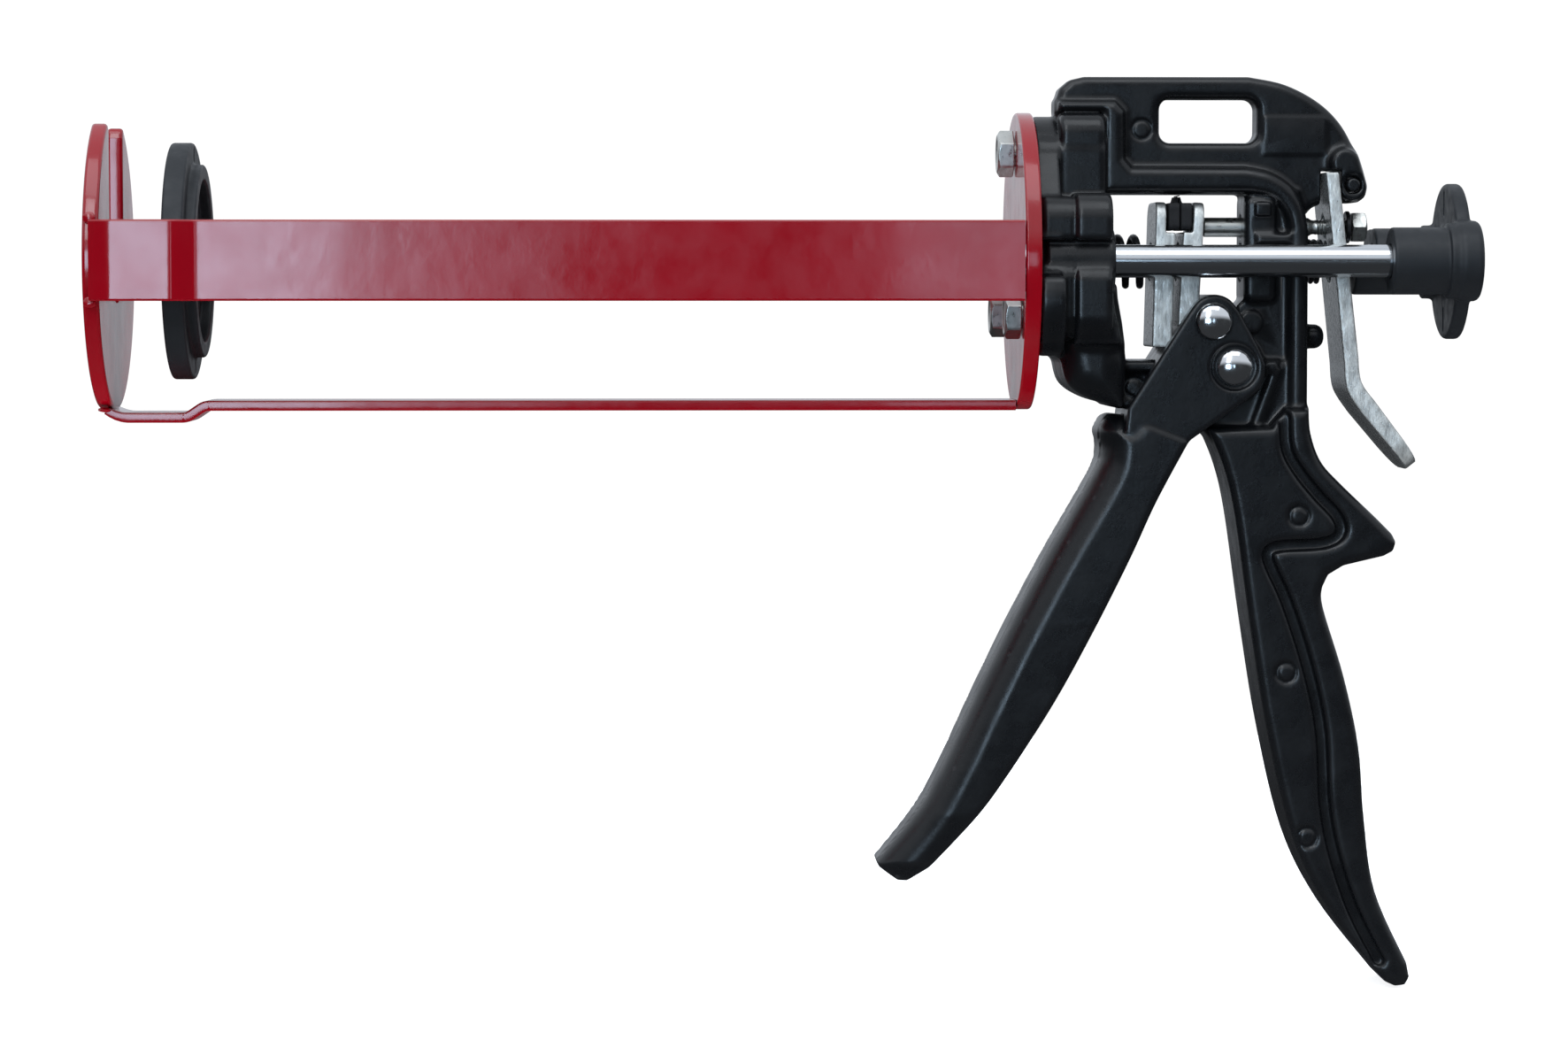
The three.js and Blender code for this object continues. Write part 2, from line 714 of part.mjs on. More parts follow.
function pushRoller() {
  const outer = barY(rollerR, -cheekIn + gap, cheekIn - gap, pusher[0], pusher[1]);
  const bore = barY(pusherR + 0.25, -20, 20, pusher[0], pusher[1]);
  return cut(outer, bore);
}

// ---------------------------------------------------------------- assembly
place("body_casting", bodyCasting(), blackPaint);
place("rear_plate", rearPlate(), redPaint);
place("front_plate", frontPlate(), redPaint);
place("strap_bottom", strap(0), redPaint);
place("strap_near", strap(-90), redPaint);
place("strap_far", strap(90), redPaint);
place("bolt_top", bolt(bolts[0]), zinc);
place("bolt_near", bolt(bolts[1]), zinc);
place("bolt_far", bolt(bolts[2]), zinc);
place("piston", piston(), blackPlastic);
place("rod_centre", rod(0), bright);
place("rod_near", rod(-rodPitch), bright);
place("rod_far", rod(rodPitch), bright);
place("piston_screw_centre", pistonScrew(0), zinc);
place("piston_screw_near", pistonScrew(-rodPitch), zinc);
place("piston_screw_far", pistonScrew(rodPitch), zinc);
place("rear_yoke", rearYoke(), blackPlastic);
place("drive_plate_front", drivePlate(driveFront, driveLean[0], 1), zinc);
place("drive_plate_rear", drivePlate(driveRear, driveLean[1], -1), zinc);
place("drive_pad_front", drivePad(driveFront + 0.9, padsMeet - gap / 2), rubber);
place("drive_pad_rear", drivePad(padsMeet + gap / 2, driveRear + 0.1), rubber);
place("drive_spring", spring(springSeatX, driveSpringEnd, driveSpringR, driveWireR, 3.6), springSteel);
place("catch_lever", catchLever(), zinc);
place("catch_spring", spring(casting.column + gap, catchEnd, catchSpringR, catchWireR, 2.2), springSteel);
place("lever_pin", leverPin(), springSteel);
place("drip_pin", dripPin(), zinc);
place("drip_washer", ring(washerR, dripThreadR + gap, washerX, washerX + washerT, dripZ), zinc);
place("drip_nut", ring(nutFlats / Math.sqrt(3), dripThreadR + gap, nutX, nutX + nutT, dripZ, 6), zinc);
place("trigger", trigger(), blackPaint);
place("fulcrum_rivet", rivet(fulcrum, fulcrumR, cheekOut - 1.1), chrome);
place("push_rivet", rivet(pusher, pusherR, cheekOut), chrome);
place("push_roller", pushRoller(), zinc);

// the middle of the base becomes the origin
const bounds = new THREE.Box3().setFromObject(gun);
gun.position.set(
  -(bounds.min.x + bounds.max.x) / 2,
  -(bounds.min.y + bounds.max.y) / 2,
  -bounds.min.z,
);

export default gun;
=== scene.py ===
import math

import bmesh
import bpy
import numpy as np
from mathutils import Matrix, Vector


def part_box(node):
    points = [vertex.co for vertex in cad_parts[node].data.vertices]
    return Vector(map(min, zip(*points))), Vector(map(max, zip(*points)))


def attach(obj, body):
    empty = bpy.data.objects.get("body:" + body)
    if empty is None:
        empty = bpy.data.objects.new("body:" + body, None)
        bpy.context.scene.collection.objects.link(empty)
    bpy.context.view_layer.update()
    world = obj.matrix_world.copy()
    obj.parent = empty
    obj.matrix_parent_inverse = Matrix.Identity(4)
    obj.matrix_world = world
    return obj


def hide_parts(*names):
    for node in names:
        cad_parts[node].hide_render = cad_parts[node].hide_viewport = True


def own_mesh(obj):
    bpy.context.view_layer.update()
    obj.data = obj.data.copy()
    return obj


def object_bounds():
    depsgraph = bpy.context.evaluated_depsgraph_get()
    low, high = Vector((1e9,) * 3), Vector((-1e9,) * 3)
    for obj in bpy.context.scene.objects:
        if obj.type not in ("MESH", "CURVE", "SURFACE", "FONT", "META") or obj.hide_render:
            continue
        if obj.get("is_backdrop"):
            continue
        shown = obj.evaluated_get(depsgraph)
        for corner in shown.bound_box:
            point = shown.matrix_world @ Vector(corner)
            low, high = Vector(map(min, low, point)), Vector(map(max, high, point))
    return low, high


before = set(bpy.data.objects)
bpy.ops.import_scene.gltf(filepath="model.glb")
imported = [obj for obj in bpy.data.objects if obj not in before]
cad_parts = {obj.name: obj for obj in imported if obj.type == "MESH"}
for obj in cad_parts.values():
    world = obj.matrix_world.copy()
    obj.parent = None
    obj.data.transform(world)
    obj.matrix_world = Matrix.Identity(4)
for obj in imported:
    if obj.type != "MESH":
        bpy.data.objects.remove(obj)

import openvdb
from mathutils import Matrix, Vector

cad_low, cad_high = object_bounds()

# ------------------------------------------------------------------ body casting
# One aluminium die casting: front block, carry handle, column and pistol grip. It comes out of
# a two-part mould, so both sides carry the same ribs and ejector marks, and is then sprayed
# satin black over the cast skin.

# every section is drawn in millimetres: X from the rear plate's front face, Z from the rods' axis
plate_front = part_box("rear_plate")[0].x
rod_low, rod_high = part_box("rod_centre")
DRAWN = Matrix.Translation((plate_front, 0, (rod_low.z + rod_high.z) / 2)) @ Matrix.Scale(0.001, 4)


def extent(node):
    """Lowest and highest corner of a CAD piece, in drawn millimetres."""
    back = DRAWN.inverted()
    return [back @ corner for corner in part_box(node)]


plate_r = extent("rear_plate")[1].z
plate_t = extent("rear_plate")[1].x
rod_r = extent("rod_centre")[1].z
rod_pitch = extent("rod_far")[1].y - rod_r
fulcrum = [(low + high) / 2 for low, high in zip(*extent("fulcrum_rivet"))][::2]
pusher = [(low + high) / 2 for low, high in zip(*extent("push_rivet"))][::2]


def bend(points, steps=6):
    """Points along a smooth curve through the given ones."""
    ends = [points[0], *points, points[-1]]
    curve = []
    for p0, p1, p2, p3 in zip(ends, ends[1:], ends[2:], ends[3:]):
        for step in range(steps):
            t = step / steps
            curve.append(tuple(
                0.5 * (2 * b + (c - a) * t + (2 * a - 5 * b + 4 * c - d) * t * t
                       + (3 * b - a - 3 * c + d) * t ** 3)
                for a, b, c, d in zip(p0, p1, p2, p3)
            ))
    return curve + [tuple(points[-1])]


def box(u0, v0, u1, v1):
    """The four corners of a rectangle."""
    return [(u0, v0), (u0, v1), (u1, v1), (u1, v0)]


class Mould:
    """A block of small cells, each holding its distance from the part's surface.
    Y is folded over, so what is drawn on one side is on the other as well."""

    def __init__(self, low, high, cell):
        self.low, self.cell = low, cell
        self.axes = [np.arange(a, b, cell, dtype=np.float32) for a, b in zip(low, high)]
        self.axes[1] = np.abs(self.axes[1])
        self.body = np.full([len(axis) for axis in self.axes], 6.0, np.float32)

    def outline(self, points, plane="xz", closed=True):
        """Distance from an outline, below nought inside, or from an open line."""
        u, v = ["xyz".index(letter) for letter in plane]
        a, b = np.meshgrid(self.axes[u], self.axes[v], indexing="ij")
        nearest = np.full(a.shape, 1e6, np.float32)
        inside = np.zeros(a.shape, bool)
        rest = points[1:] + points[:1] if closed else points[1:]
        for (a0, b0), (a1, b1) in zip(points, rest):
            da, db = a1 - a0, b1 - b0
            t = np.clip(((a - a0) * da + (b - b0) * db) / max(da * da + db * db, 1e-9), 0, 1)
            nearest = np.minimum(nearest, (a - a0 - t * da) ** 2 + (b - b0 - t * db) ** 2)
            if closed and b0 != b1:
                crossed = (b0 <= b) != (b1 <= b)
                inside ^= crossed & (a < a0 + (b - b0) * da / db)
        flat = np.sqrt(nearest)
        return np.expand_dims(np.where(inside, -flat, flat), ({0, 1, 2} - {u, v}).pop())

    def disc(self, centre, radius, plane="xz"):
        u, v = ["xyz".index(letter) for letter in plane]
        a, b = np.meshgrid(self.axes[u] - centre[0], self.axes[v] - centre[1], indexing="ij")
        return np.expand_dims(np.hypot(a, b) - radius, ({0, 1, 2} - {u, v}).pop())

    def between(self, letter, low, high):
        index = "xyz".index(letter)
        shape = [1, 1, 1]
        shape[index] = -1
        return np.maximum(low - self.axes[index], self.axes[index] - high).reshape(shape)

    def add(self, flat, across, edge=1.0, fillet=1.0):
        """Joins on a slab with rounded edges, and a fillet where it meets the rest."""
        shape = rounded(flat, across, edge)
        near = np.maximum(fillet - np.abs(self.body - shape), 0)
        self.body = np.minimum(self.body, shape) - near * near / (4 * fillet)

    def cut(self, flat, across, edge=0.3, ease=0.6):
        shape = rounded(flat, across, edge)
        near = np.maximum(ease - np.abs(self.body + shape), 0)
        self.body = np.maximum(self.body, -shape) + near * near / (4 * ease)

    def cast(self, name, keep=1.0):
        """The surface as a closed mesh, thinned to a share of its faces."""
        grid = openvdb.FloatGrid(3.0)
        grid.copyFromArray(np.ascontiguousarray(np.clip(self.body, -3, 3)))
        points, triangles, quads = grid.convertToPolygons(isovalue=0.0, adaptivity=0.0)
        points = points * self.cell + np.array(self.low)
        mesh = bpy.data.meshes.new(name)
        mesh.from_pydata(points.tolist(), [], triangles.tolist() + quads.tolist())
        if keep < 1:
            mesh = shaped(mesh, "DECIMATE", ratio=keep)
        return mesh


def rounded(flat, across, edge):
    """Distance from a slab whose edges have this radius."""
    a = np.maximum(flat + edge, 0)
    b = np.maximum(across + edge, 0)
    return np.hypot(a, b) + np.minimum(np.maximum(flat, across) + edge, 0) - edge


def shaped(mesh, kind, **settings):
    """The mesh with one modifier applied."""
    holder = bpy.data.objects.new("holder", mesh)
    bpy.context.scene.collection.objects.link(holder)
    modifier = holder.modifiers.new(kind, kind)
    for key, value in settings.items():
        setattr(modifier, key, value)
    settled = holder.evaluated_get(bpy.context.evaluated_depsgraph_get())
    made = bpy.data.meshes.new_from_object(settled)
    name = mesh.name
    bpy.data.objects.remove(holder)
    bpy.data.meshes.remove(mesh)
    made.name = name
    return made


def fit(name, mesh, finish, body, slot, *stands_for, sharp=180):
    """Puts a mesh drawn in millimetres into the scene, as a piece of one body."""
    solid = bmesh.new()
    solid.from_mesh(mesh)
    if solid.calc_volume(signed=True) < 0:
        bmesh.ops.reverse_faces(solid, faces=solid.faces)
    solid.to_mesh(mesh)
    solid.free()
    mesh.transform(DRAWN)
    mesh.materials.clear()
    mesh.materials.append(finish)
    mesh.shade_smooth()
    mesh.set_sharp_from_angle(angle=math.radians(sharp))
    piece = bpy.data.objects.new(name, mesh)
    bpy.context.scene.collection.objects.link(piece)
    if sharp < 180:
        piece.modifiers.new("even", "WEIGHTED_NORMAL").keep_sharp = True
    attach(piece, body)
    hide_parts(*stands_for)
    return piece


class Finish:
    """A material whose even values sit on the shader, with grain laid over them."""

    def __init__(self, name, colour, metallic, roughness, **sockets):
        self.material = bpy.data.materials.new(name)
        self.material.use_nodes = True
        self.nodes = self.material.node_tree.nodes
        self.link = self.material.node_tree.links.new
        self.shader = self.nodes["Principled BSDF"]
        self.shader.inputs["Base Color"].default_value = (*colour, 1)
        self.shader.inputs["Metallic"].default_value = metallic
        self.shader.inputs["Roughness"].default_value = roughness
        for socket, value in sockets.items():
            self.shader.inputs[socket.replace("_", " ")].default_value = value
        self.place = self.nodes.new("ShaderNodeTexCoord").outputs["Object"]
        self.normal = None

    def grain(self, size, detail=3.0, stretch=(1, 1, 1), harshness=0.55):
        """Noise whose lumps are about this many millimetres across."""
        spread = self.nodes.new("ShaderNodeMapping")
        spread.inputs["Scale"].default_value = stretch
        noise = self.nodes.new("ShaderNodeTexNoise")
        noise.inputs["Scale"].default_value = 1000 / size
        noise.inputs["Detail"].default_value = detail
        noise.inputs["Roughness"].default_value = harshness
        self.link(self.place, spread.inputs["Vector"])
        self.link(spread.outputs["Vector"], noise.inputs["Vector"])
        return noise.outputs["Fac"]

    def edges(self):
        """High on outside edges, where a finish wears."""
        return self.nodes.new("ShaderNodeNewGeometry").outputs["Pointiness"]

    def sideways(self):
        """1 on faces square to the gun's sides, 0 on the ones that face along it."""
        split = self.nodes.new("ShaderNodeSeparateXYZ")
        self.link(self.nodes.new("ShaderNodeTexCoord").outputs["Normal"], split.inputs["Vector"])
        size = self.nodes.new("ShaderNodeMath")
        size.operation = "ABSOLUTE"
        self.link(split.outputs["Y"], size.inputs[0])
        return self.ranged(size.outputs["Value"], 0.5, 0.8)

    def times(self, first, second):
        product = self.nodes.new("ShaderNodeMath")
        product.operation = "MULTIPLY"
        self.link(first, product.inputs[0])
        self.link(second, product.inputs[1])
        return product.outputs["Value"]

    def ranged(self, source, low, high, out_low=0.0, out_high=1.0):
        span = self.nodes.new("ShaderNodeMapRange")
        for socket, value in [
            ("From Min", low), ("From Max", high), ("To Min", out_low), ("To Max", out_high),
        ]:
            span.inputs[socket].default_value = value
        self.link(source, span.inputs["Value"])
        return span.outputs["Result"]

    def tint(self, source, first, second):
        """Base colour that runs from first to second with the source."""
        ramp = self.nodes.new("ShaderNodeValToRGB")
        ramp.color_ramp.elements[0].color = (*first, 1)
        ramp.color_ramp.elements[1].color = (*second, 1)
        self.link(source, ramp.inputs["Fac"])
        self.link(ramp.outputs["Color"], self.shader.inputs["Base Color"])

    def rough(self, source, low, high):
        self.link(self.ranged(source, 0.3, 0.7, low, high), self.shader.inputs["Roughness"])

    def bump(self, source, height, strength=1.0):
        """Lumps this many millimetres high."""
        lumps = self.nodes.new("ShaderNodeBump")
        lumps.inputs["Distance"].default_value = height / 1000
        lumps.inputs["Strength"].default_value = strength
        self.link(source, lumps.inputs["Height"])
        if self.normal:
            self.link(self.normal, lumps.inputs["Normal"])
        self.normal = lumps.outputs["Normal"]
        self.link(self.normal, self.shader.inputs["Normal"])


black_paint = Finish("black_paint", (0.006, 0.0065, 0.0075), 0, 0.34, Specular_IOR_Level=0.42)
worn_edges = black_paint.ranged(black_paint.edges(), 0.5, 0.62)
black_paint.tint(worn_edges, (0.0045, 0.005, 0.006), (0.016, 0.017, 0.019))
black_paint.rough(black_paint.grain(7, 4), 0.22, 0.36)
black_paint.bump(black_paint.grain(5.5, 4), 0.16, 0.55)
black_paint.bump(black_paint.grain(0.7, 3), 0.035, 0.6)

seam = 0.3  # left between neighbours
cheek_in = extent("push_roller")[1].y + seam  # inside of the trigger's cheeks
# half widths: of the grip, of the handle's web, of its rib, of the chin and of the trigger's bar
grip_half, web_half, rib_half, chin_half, bar_half = 12.4, 5.6, 9.6, 20, 8.2
through = 20  # wider than what it cuts
block_x = 21.8  # back of the front block
column_x = 71.4  # back of the column

handle_back = bend([(57, 45), (66, 43.1), (74.2, 38.8), (80, 33), (84, 25), (86, 18.3)])
handle = [
    (9.6, 17), (9.6, 38.8), (10.6, 42), (13.2, 44.2), (16.6, 45), *handle_back,
    (85.6, 15.9), (84, 14.8), (80.8, 14.8), (79.4, 14), (75, 14), (72.8, 13.1), (column_x, 11.8),
    (60, 12.4), (58, 18),
]
rim_outer = bend([(56, 22.8), (62, 21.5), (67, 18.4), (70, 14), (column_x, 8)])
rim_inner = bend([(66.6, 8), (65.6, 11.6), (62.4, 15.2), (57, 16.4)])
rim = [
    (10, 36.4), (10, 38.9), (24, 38.9), (26.3, 36.6), (26.4, 25), (28.2, 22.9), *rim_outer,
    (column_x, -46), (66.6, -42), *rim_inner, (20.9, 16.4), (20.9, 36.4),
]
grip_back = bend([
    (column_x, -36), (71.9, -42), (74.4, -48.8), (79.2, -54.2), (87.6, -62.2), (92, -66.6),
])
grip_rear = bend([
    (75, -79.6), (75.2, -84.6), (80.4, -101.5), (84.2, -119), (85.6, -136), (88.4, -154.4),
    (96.4, -172.2),
])
grip_front = bend([
    (91, -176.8), (77, -159), (68, -141), (61.6, -114.8), (57.2, -88.4), (53.4, -62),
    (50.6, -50), (46.8, -40.8),
])
grip = [
    *grip_back, (93, -68.6), (92.3, -70.8), (90, -72), (80.2, -74.3), (76.4, -76.6), *grip_rear,
    (97.1, -175.8), (96, -177.7), (93.6, -178), *grip_front, (62, -40.4), (66, -36),
]
grip_groove = bend([
    (65.4, -38), (66, -45.6), (68.8, -51), (73.6, -57), (78.4, -62.2), (79.2, -66.4), (75, -68.8),
    (64.6, -69.5), (61.6, -71), (62.2, -74.4), (66.2, -83.2), (71.4, -99), (74.8, -115), (75.8, -132.4),
    (78.2, -145), (83, -159), (89.4, -171.4),
], 4)
chin = [
    (10, -6), *bend([(10.2, -23), (12, -29.6), (17.4, -33.4), (25.4, -35.6)]),
    (26.2, -24.3), (25.2, -15), (23.6, -6),
]
ejector_marks = [
    ((30.7, 32.1), web_half), ((28.7, -30.8), bar_half), ((68.9, -62.1), grip_half),
    ((66, -100.4), grip_half), ((71.4, -140.9), grip_half),
]

m = Mould((3, -37.5, -179), (98.5, 37.6, 46), 0.5)
side = m.between("y", -1, 0)  # how far out from the mid-plane


def half(width):
    """Distance from a slab that lies this far to either side of the mid-plane."""
    return side - width


m.add(m.outline(handle), half(web_half), 2.0)
m.add(m.outline(box(60.4, 25.9, 76.2, 35.4)), half(web_half + 0.28), 0.2, 0.2)
m.cut(m.outline(box(37.8, 31.5, 56.4, 37)) - 2.6, half(through), 0.3, 2.4)
m.add(m.outline(rim), half(rib_half), 2.2, 1.6)
# flange against the rear plate, then the block with its two side pads
flange_x = plate_t + seam
lobe_z = plate_r - 14.2
corners = [(0, lobe_z), (lobe_z - 1.6, -9.6), (1.6 - lobe_z, -9.6)]
m.add(m.outline(corners, "yz") - 13.3, m.between("x", flange_x, 9.9), 0.7, 0.8)
m.add(m.outline(box(-9, 14, 9, 26), "yz") - 4, m.between("x", flange_x, 21.3), 1.2, 0.8)
m.add(m.outline(box(-8, 14, 8, 31), "yz") - 5, m.between("x", 10.2, 21.3), 1.6, 0.8)
bolt_y = extent("bolt_far")[0].y / 2 + extent("bolt_far")[1].y / 2
block_y = bolt_y + 4.4
flank = box(-15, -13, block_y - 6.6, 9.8)
m.add(m.outline(flank, "yz") - 5.7, m.between("x", plate_t + 1, 13), 1.2, 0.8)
m.add(m.outline(flank, "yz") - 6.6, m.between("x", 12.8, block_x), 1.4, 0.5)
m.add(m.outline([(12.8, -6), (21.2, -6), (24.4, -20), (12.8, -20)]), half(block_y - 3), 1.6, 1.2)
valley = [(22.8, 4.9), (40, 4.9), (40, -4.2), (block_y, -3.4), (23.4, 0.4)]
m.cut(m.outline(valley, "yz"), m.between("x", plate_t, 30), 0.3, 1.4)
m.add(m.disc((rod_pitch, 0), rod_r + 4, "yz"), m.between("x", 6, block_x + 0.9), 0.9, 1.2)
m.add(m.outline(chin), half(chin_half), 6.5, 2.6)
# bar from the chin to the trigger's pivot, and the column with its guides and ribs
bar = [(22, -24.3), (69, -24.3), (69, -44), (48, -43), (44, -39.6), (22, -35)]
m.add(m.outline(bar), half(bar_half), 1.0, 1.2)
web = [(56, 17), (69, 17), (69, -42), (54, -42), (54, -11), (56, -9)]
m.add(m.outline(web), half(7), 0.8, 1.4)
m.add(m.outline(box(57.8, -8, 61.6, 14)) - 1.8, half(8.8), 1.4, 1.2)
m.add(m.outline(box(58.2, 11, 62, 14.4)), half(9.7), 0.5, 0.4)
m.add(m.outline(box(58.6, 4.2, 67, 6.6)), half(9.8), 1.1, 1.6)
m.add(m.outline([(57.4, -40.6), (62.6, -26.4), (64.6, -26.4), (59.8, -40.6)]), half(9.2), 1.0, 1.6)
m.add(m.outline([(24.6, -24.3), (64, -24.3), (64, -27), (24.6, -27)]), half(9.6), 1.0, 1.2)
m.add(m.disc((57.6, -14.8), 2.7), half(7.7), 0.3, 0.4)
m.add(m.disc(fulcrum, 8), half(cheek_in - seam), 0.6, 1.0)
# round-ended peg that stops the catch lever
m.add(m.disc((0, -18.4), 3, "yz"), m.between("x", 66, 76.4), 2.4, 1.8)
# pistol grip, with the groove that parts its side panel from the rounded rim behind
m.add(m.outline(grip), half(grip_half), 2.2, 1.6)
m.cut(m.outline(grip_groove, closed=False) - 1.35, -half(grip_half - 2.0), 0.6, 1.3)
mark_r, mark_depth = 2.3, 0.42
for place, surface in ejector_marks:
    mark = np.abs(m.disc(place, mark_r)) - mark_depth
    m.cut(mark, -half(surface - mark_depth), 0.1, 0.35)
# pocket for the catch lever, the nose behind it, and the bores
nose = m.outline([(82.1, 18.3), (80.4, 24)], closed=False) - 3.5
m.add(nose, half(8.6), 1.2, 2.2)
m.cut(m.outline(box(74.8, 8, 79.4, 22.2)), half(through), 0.2, 0.4)
drip_z = 8.4  # the drip pin's axis over the middle rod
for y, z, radius, x0, x1 in [
    (rod_pitch, 0, rod_r + 0.5, 0, 30),  # outer rods
    (0, 0, rod_r + 0.5, 0, 75),  # middle rod
    (0, 0, 7.6, 16, 30),  # seat of the drive spring
    (0, drip_z, 2.7, 50, 75),  # drip pin
]:
    m.cut(m.disc((y, z), radius, "yz"), m.between("x", x0, x1), 0.2, 0.6)
pivot_bore, lever_pin_at = 3.7, (82.3, 18.6)
m.cut(m.disc(fulcrum, pivot_bore), half(through), 0.2, 0.4)
m.cut(np.abs(m.disc(lever_pin_at, 2.5)) - 0.4, -half(8.1), 0.1, 0.3)
m.cut(m.disc(lever_pin_at, 2), half(through), 0.2, 0.4)
fit("casting", m.cast("casting", 0.55), black_paint.material, "gun", "black_paint", "body_casting")
del m

# ------------------------------------------------------------------ trigger
# A second casting in the same satin black: two flat cheeks that straddle the body on the pivot
# rivet, and a hollow grip whose front is rounded for the fingers.
trigger_front = bend([
    (25.6, -37.4), (22.2, -37.6), (20, -41), (20.5, -46), (18.6, -52), (7.9, -70.7), (-1.4, -88.2),
    (-9.9, -105.7), (-18, -123.2), (-24.4, -134.8), (-34.1, -147),
])
trigger_back = bend([
    (-21.4, -148.4), (-9.6, -135.4), (-1.8, -124.6), (9, -107.6), (18.6, -90), (27.4, -72.4),
    (33.8, -58.4), (41.7, -43.7),
])
trigger_side = [*trigger_front, (-33.4, -148.4), (-28.8, -151.7), (-26.4, -151.8), *trigger_back]
arm = [
    (26.7, -35.6), *bend([(41.4, -12.6), (44, -9.4), (47.6, -8.1), (51.2, -9.2), (53.8, -12.2)]),
    *bend([(58.4, -20.6), (60.1, -25.4), (59.2, -30.4), (55.6, -33.8)]),
    (41.7, -43.7), (36, -46), (26, -42),
]
arm_half = cheek_in + 3.4
trigger_wall = 3.2

m = Mould((-36, -16.5, -154), (62, 16.6, -6), 0.45)
side = m.between("y", -1, 0)
heights = m.axes[2].reshape(1, 1, -1)
# the grip narrows at its foot, and falls away towards its front
wide = np.interp(heights, [-152, -147, -135, -124, -106, -88], [8.6, 12.4, 14.2, 14.8, 15.2, 15.5])
inward = m.outline(trigger_front, closed=False)
falls = np.clip(1 - inward / 7.2, 0, 1)
drop = 0.58 * wide * (1 - np.sqrt(1 - falls ** 2)) + 1.1 * falls
m.add(m.outline(trigger_side), side - wide + drop, 1.3, 0.4)
hollow = np.maximum(trigger_wall - inward, m.between("z", -136, -46))
m.cut(hollow, side - wide + drop + trigger_wall, 0.4, 1.0)
m.add(m.outline(arm), half(arm_half), 0.8, 0.5)
throat = [(52.6, -13), (64, -20), (64, -34), (49, -50), (41, -52), (33, -45), (29, -37), (41, -20)]
m.cut(m.outline(throat), half(cheek_in), 0.3, 0.8)
m.cut(m.disc(fulcrum, 5.7), -half(arm_half - 0.7), 0.2, 0.5)
m.cut(m.disc(fulcrum, pivot_bore), half(through), 0.2, 0.3)
m.cut(m.disc(pusher, 2.6), half(through), 0.2, 0.3)
mesh = m.cast("trigger_casting", 0.6)
fit("trigger_casting", mesh, black_paint.material, "trigger", "black_paint", "trigger")

# ------------------------------------------------------------------ cartridge frame
# Two steel discs joined by three strips, welded and then dipped in gloss red. The strips are
# flush with the rear disc's rim and step out to lap over the front one.
red_paint = Finish("red_paint", (0.33, 0.0005, 0.007), 0, 0.18, Coat_Weight=0.4, Coat_Roughness=0.05)
red_paint.tint(red_paint.grain(26, 4), (0.29, 0.0004, 0.005), (0.37, 0.0008, 0.01))
red_paint.rough(red_paint.grain(9, 3), 0.12, 0.22)
red_paint.bump(red_paint.grain(14, 2), 0.16, 0.8)
red_paint.bump(red_paint.grain(2.6, 2), 0.03, 0.8)

front_x = extent("front_plate")[1].x
slot_half = extent("front_plate")[1].y * 0.357


def ring(radius, centre=(0, 0), steps=64, start=0.0, sweep=math.tau):
    """Points round a circle, or along an arc of one."""
    last = steps if sweep == math.tau else steps + 1
    return [
        (centre[0] + radius * math.cos(start + sweep * i / steps),
         centre[1] + radius * math.sin(start + sweep * i / steps))
        for i in range(last)
    ]


def plate(name, outlines, x0, x1, edge):
    """A flat sheet across the gun with rounded edges; the outlines after the first are holes."""
    curve = bpy.data.curves.new(name, "CURVE")
    curve.dimensions, curve.fill_mode = "2D", "BOTH"
    curve.extrude, curve.bevel_depth = (x1 - x0) / 2 - edge, edge
    curve.bevel_resolution, curve.offset = 2, -edge
    for points in outlines:
        spline = curve.splines.new("POLY")
        spline.points.add(len(points) - 1)
        for point, (y, z) in zip(spline.points, points):
            point.co = (y, z, 0, 1)
        spline.use_cyclic_u = True
    holder = bpy.data.objects.new(name, curve)
    bpy.context.scene.collection.objects.link(holder)
    settled = holder.evaluated_get(bpy.context.evaluated_depsgraph_get())
    mesh = bpy.data.meshes.new_from_object(settled)
    bpy.data.objects.remove(holder)
    solid = bmesh.new()
    solid.from_mesh(mesh)
    bmesh.ops.remove_doubles(solid, verts=solid.verts, dist=0.001)
    solid.to_mesh(mesh)
    solid.free()
    across = Matrix(((0, 0, 1, (x0 + x1) / 2), (1, 0, 0, 0), (0, 1, 0, 0), (0, 0, 0, 1)))
    mesh.transform(across)
    return mesh


def skin(rings, closed=False):
    """A mesh over rings of points, capped at both ends or closed on itself."""
    count = len(rings[0])
    points = [point for one in rings for point in one]
    pairs = list(zip(range(len(rings)), range(1, len(rings))))
    if closed:
        pairs.append((len(rings) - 1, 0))
    faces = []
    for row, after in pairs:
        for i in range(count):
            j = (i + 1) % count
            faces.append((row * count + i, row * count + j, after * count + j, after * count + i))
    if not closed:
        faces.append(tuple(range(count))[::-1])
        faces.append(tuple(range(len(points) - count, len(points))))
    mesh = bpy.data.meshes.new("skin")
    mesh.from_pydata(points, [], faces)
    return mesh


def together(*meshes):
    """Several closed meshes as one, each turned to face outwards."""
    whole = bmesh.new()
    for mesh in meshes:
        part = bmesh.new()
        part.from_mesh(mesh)
        bmesh.ops.recalc_face_normals(part, faces=part.faces)
        if part.calc_volume(signed=True) < 0:
            bmesh.ops.reverse_faces(part, faces=part.faces)
        part.to_mesh(mesh)
        part.free()
        whole.from_mesh(mesh)
    made = bpy.data.meshes.new("together")
    whole.to_mesh(made)
    whole.free()
    return made


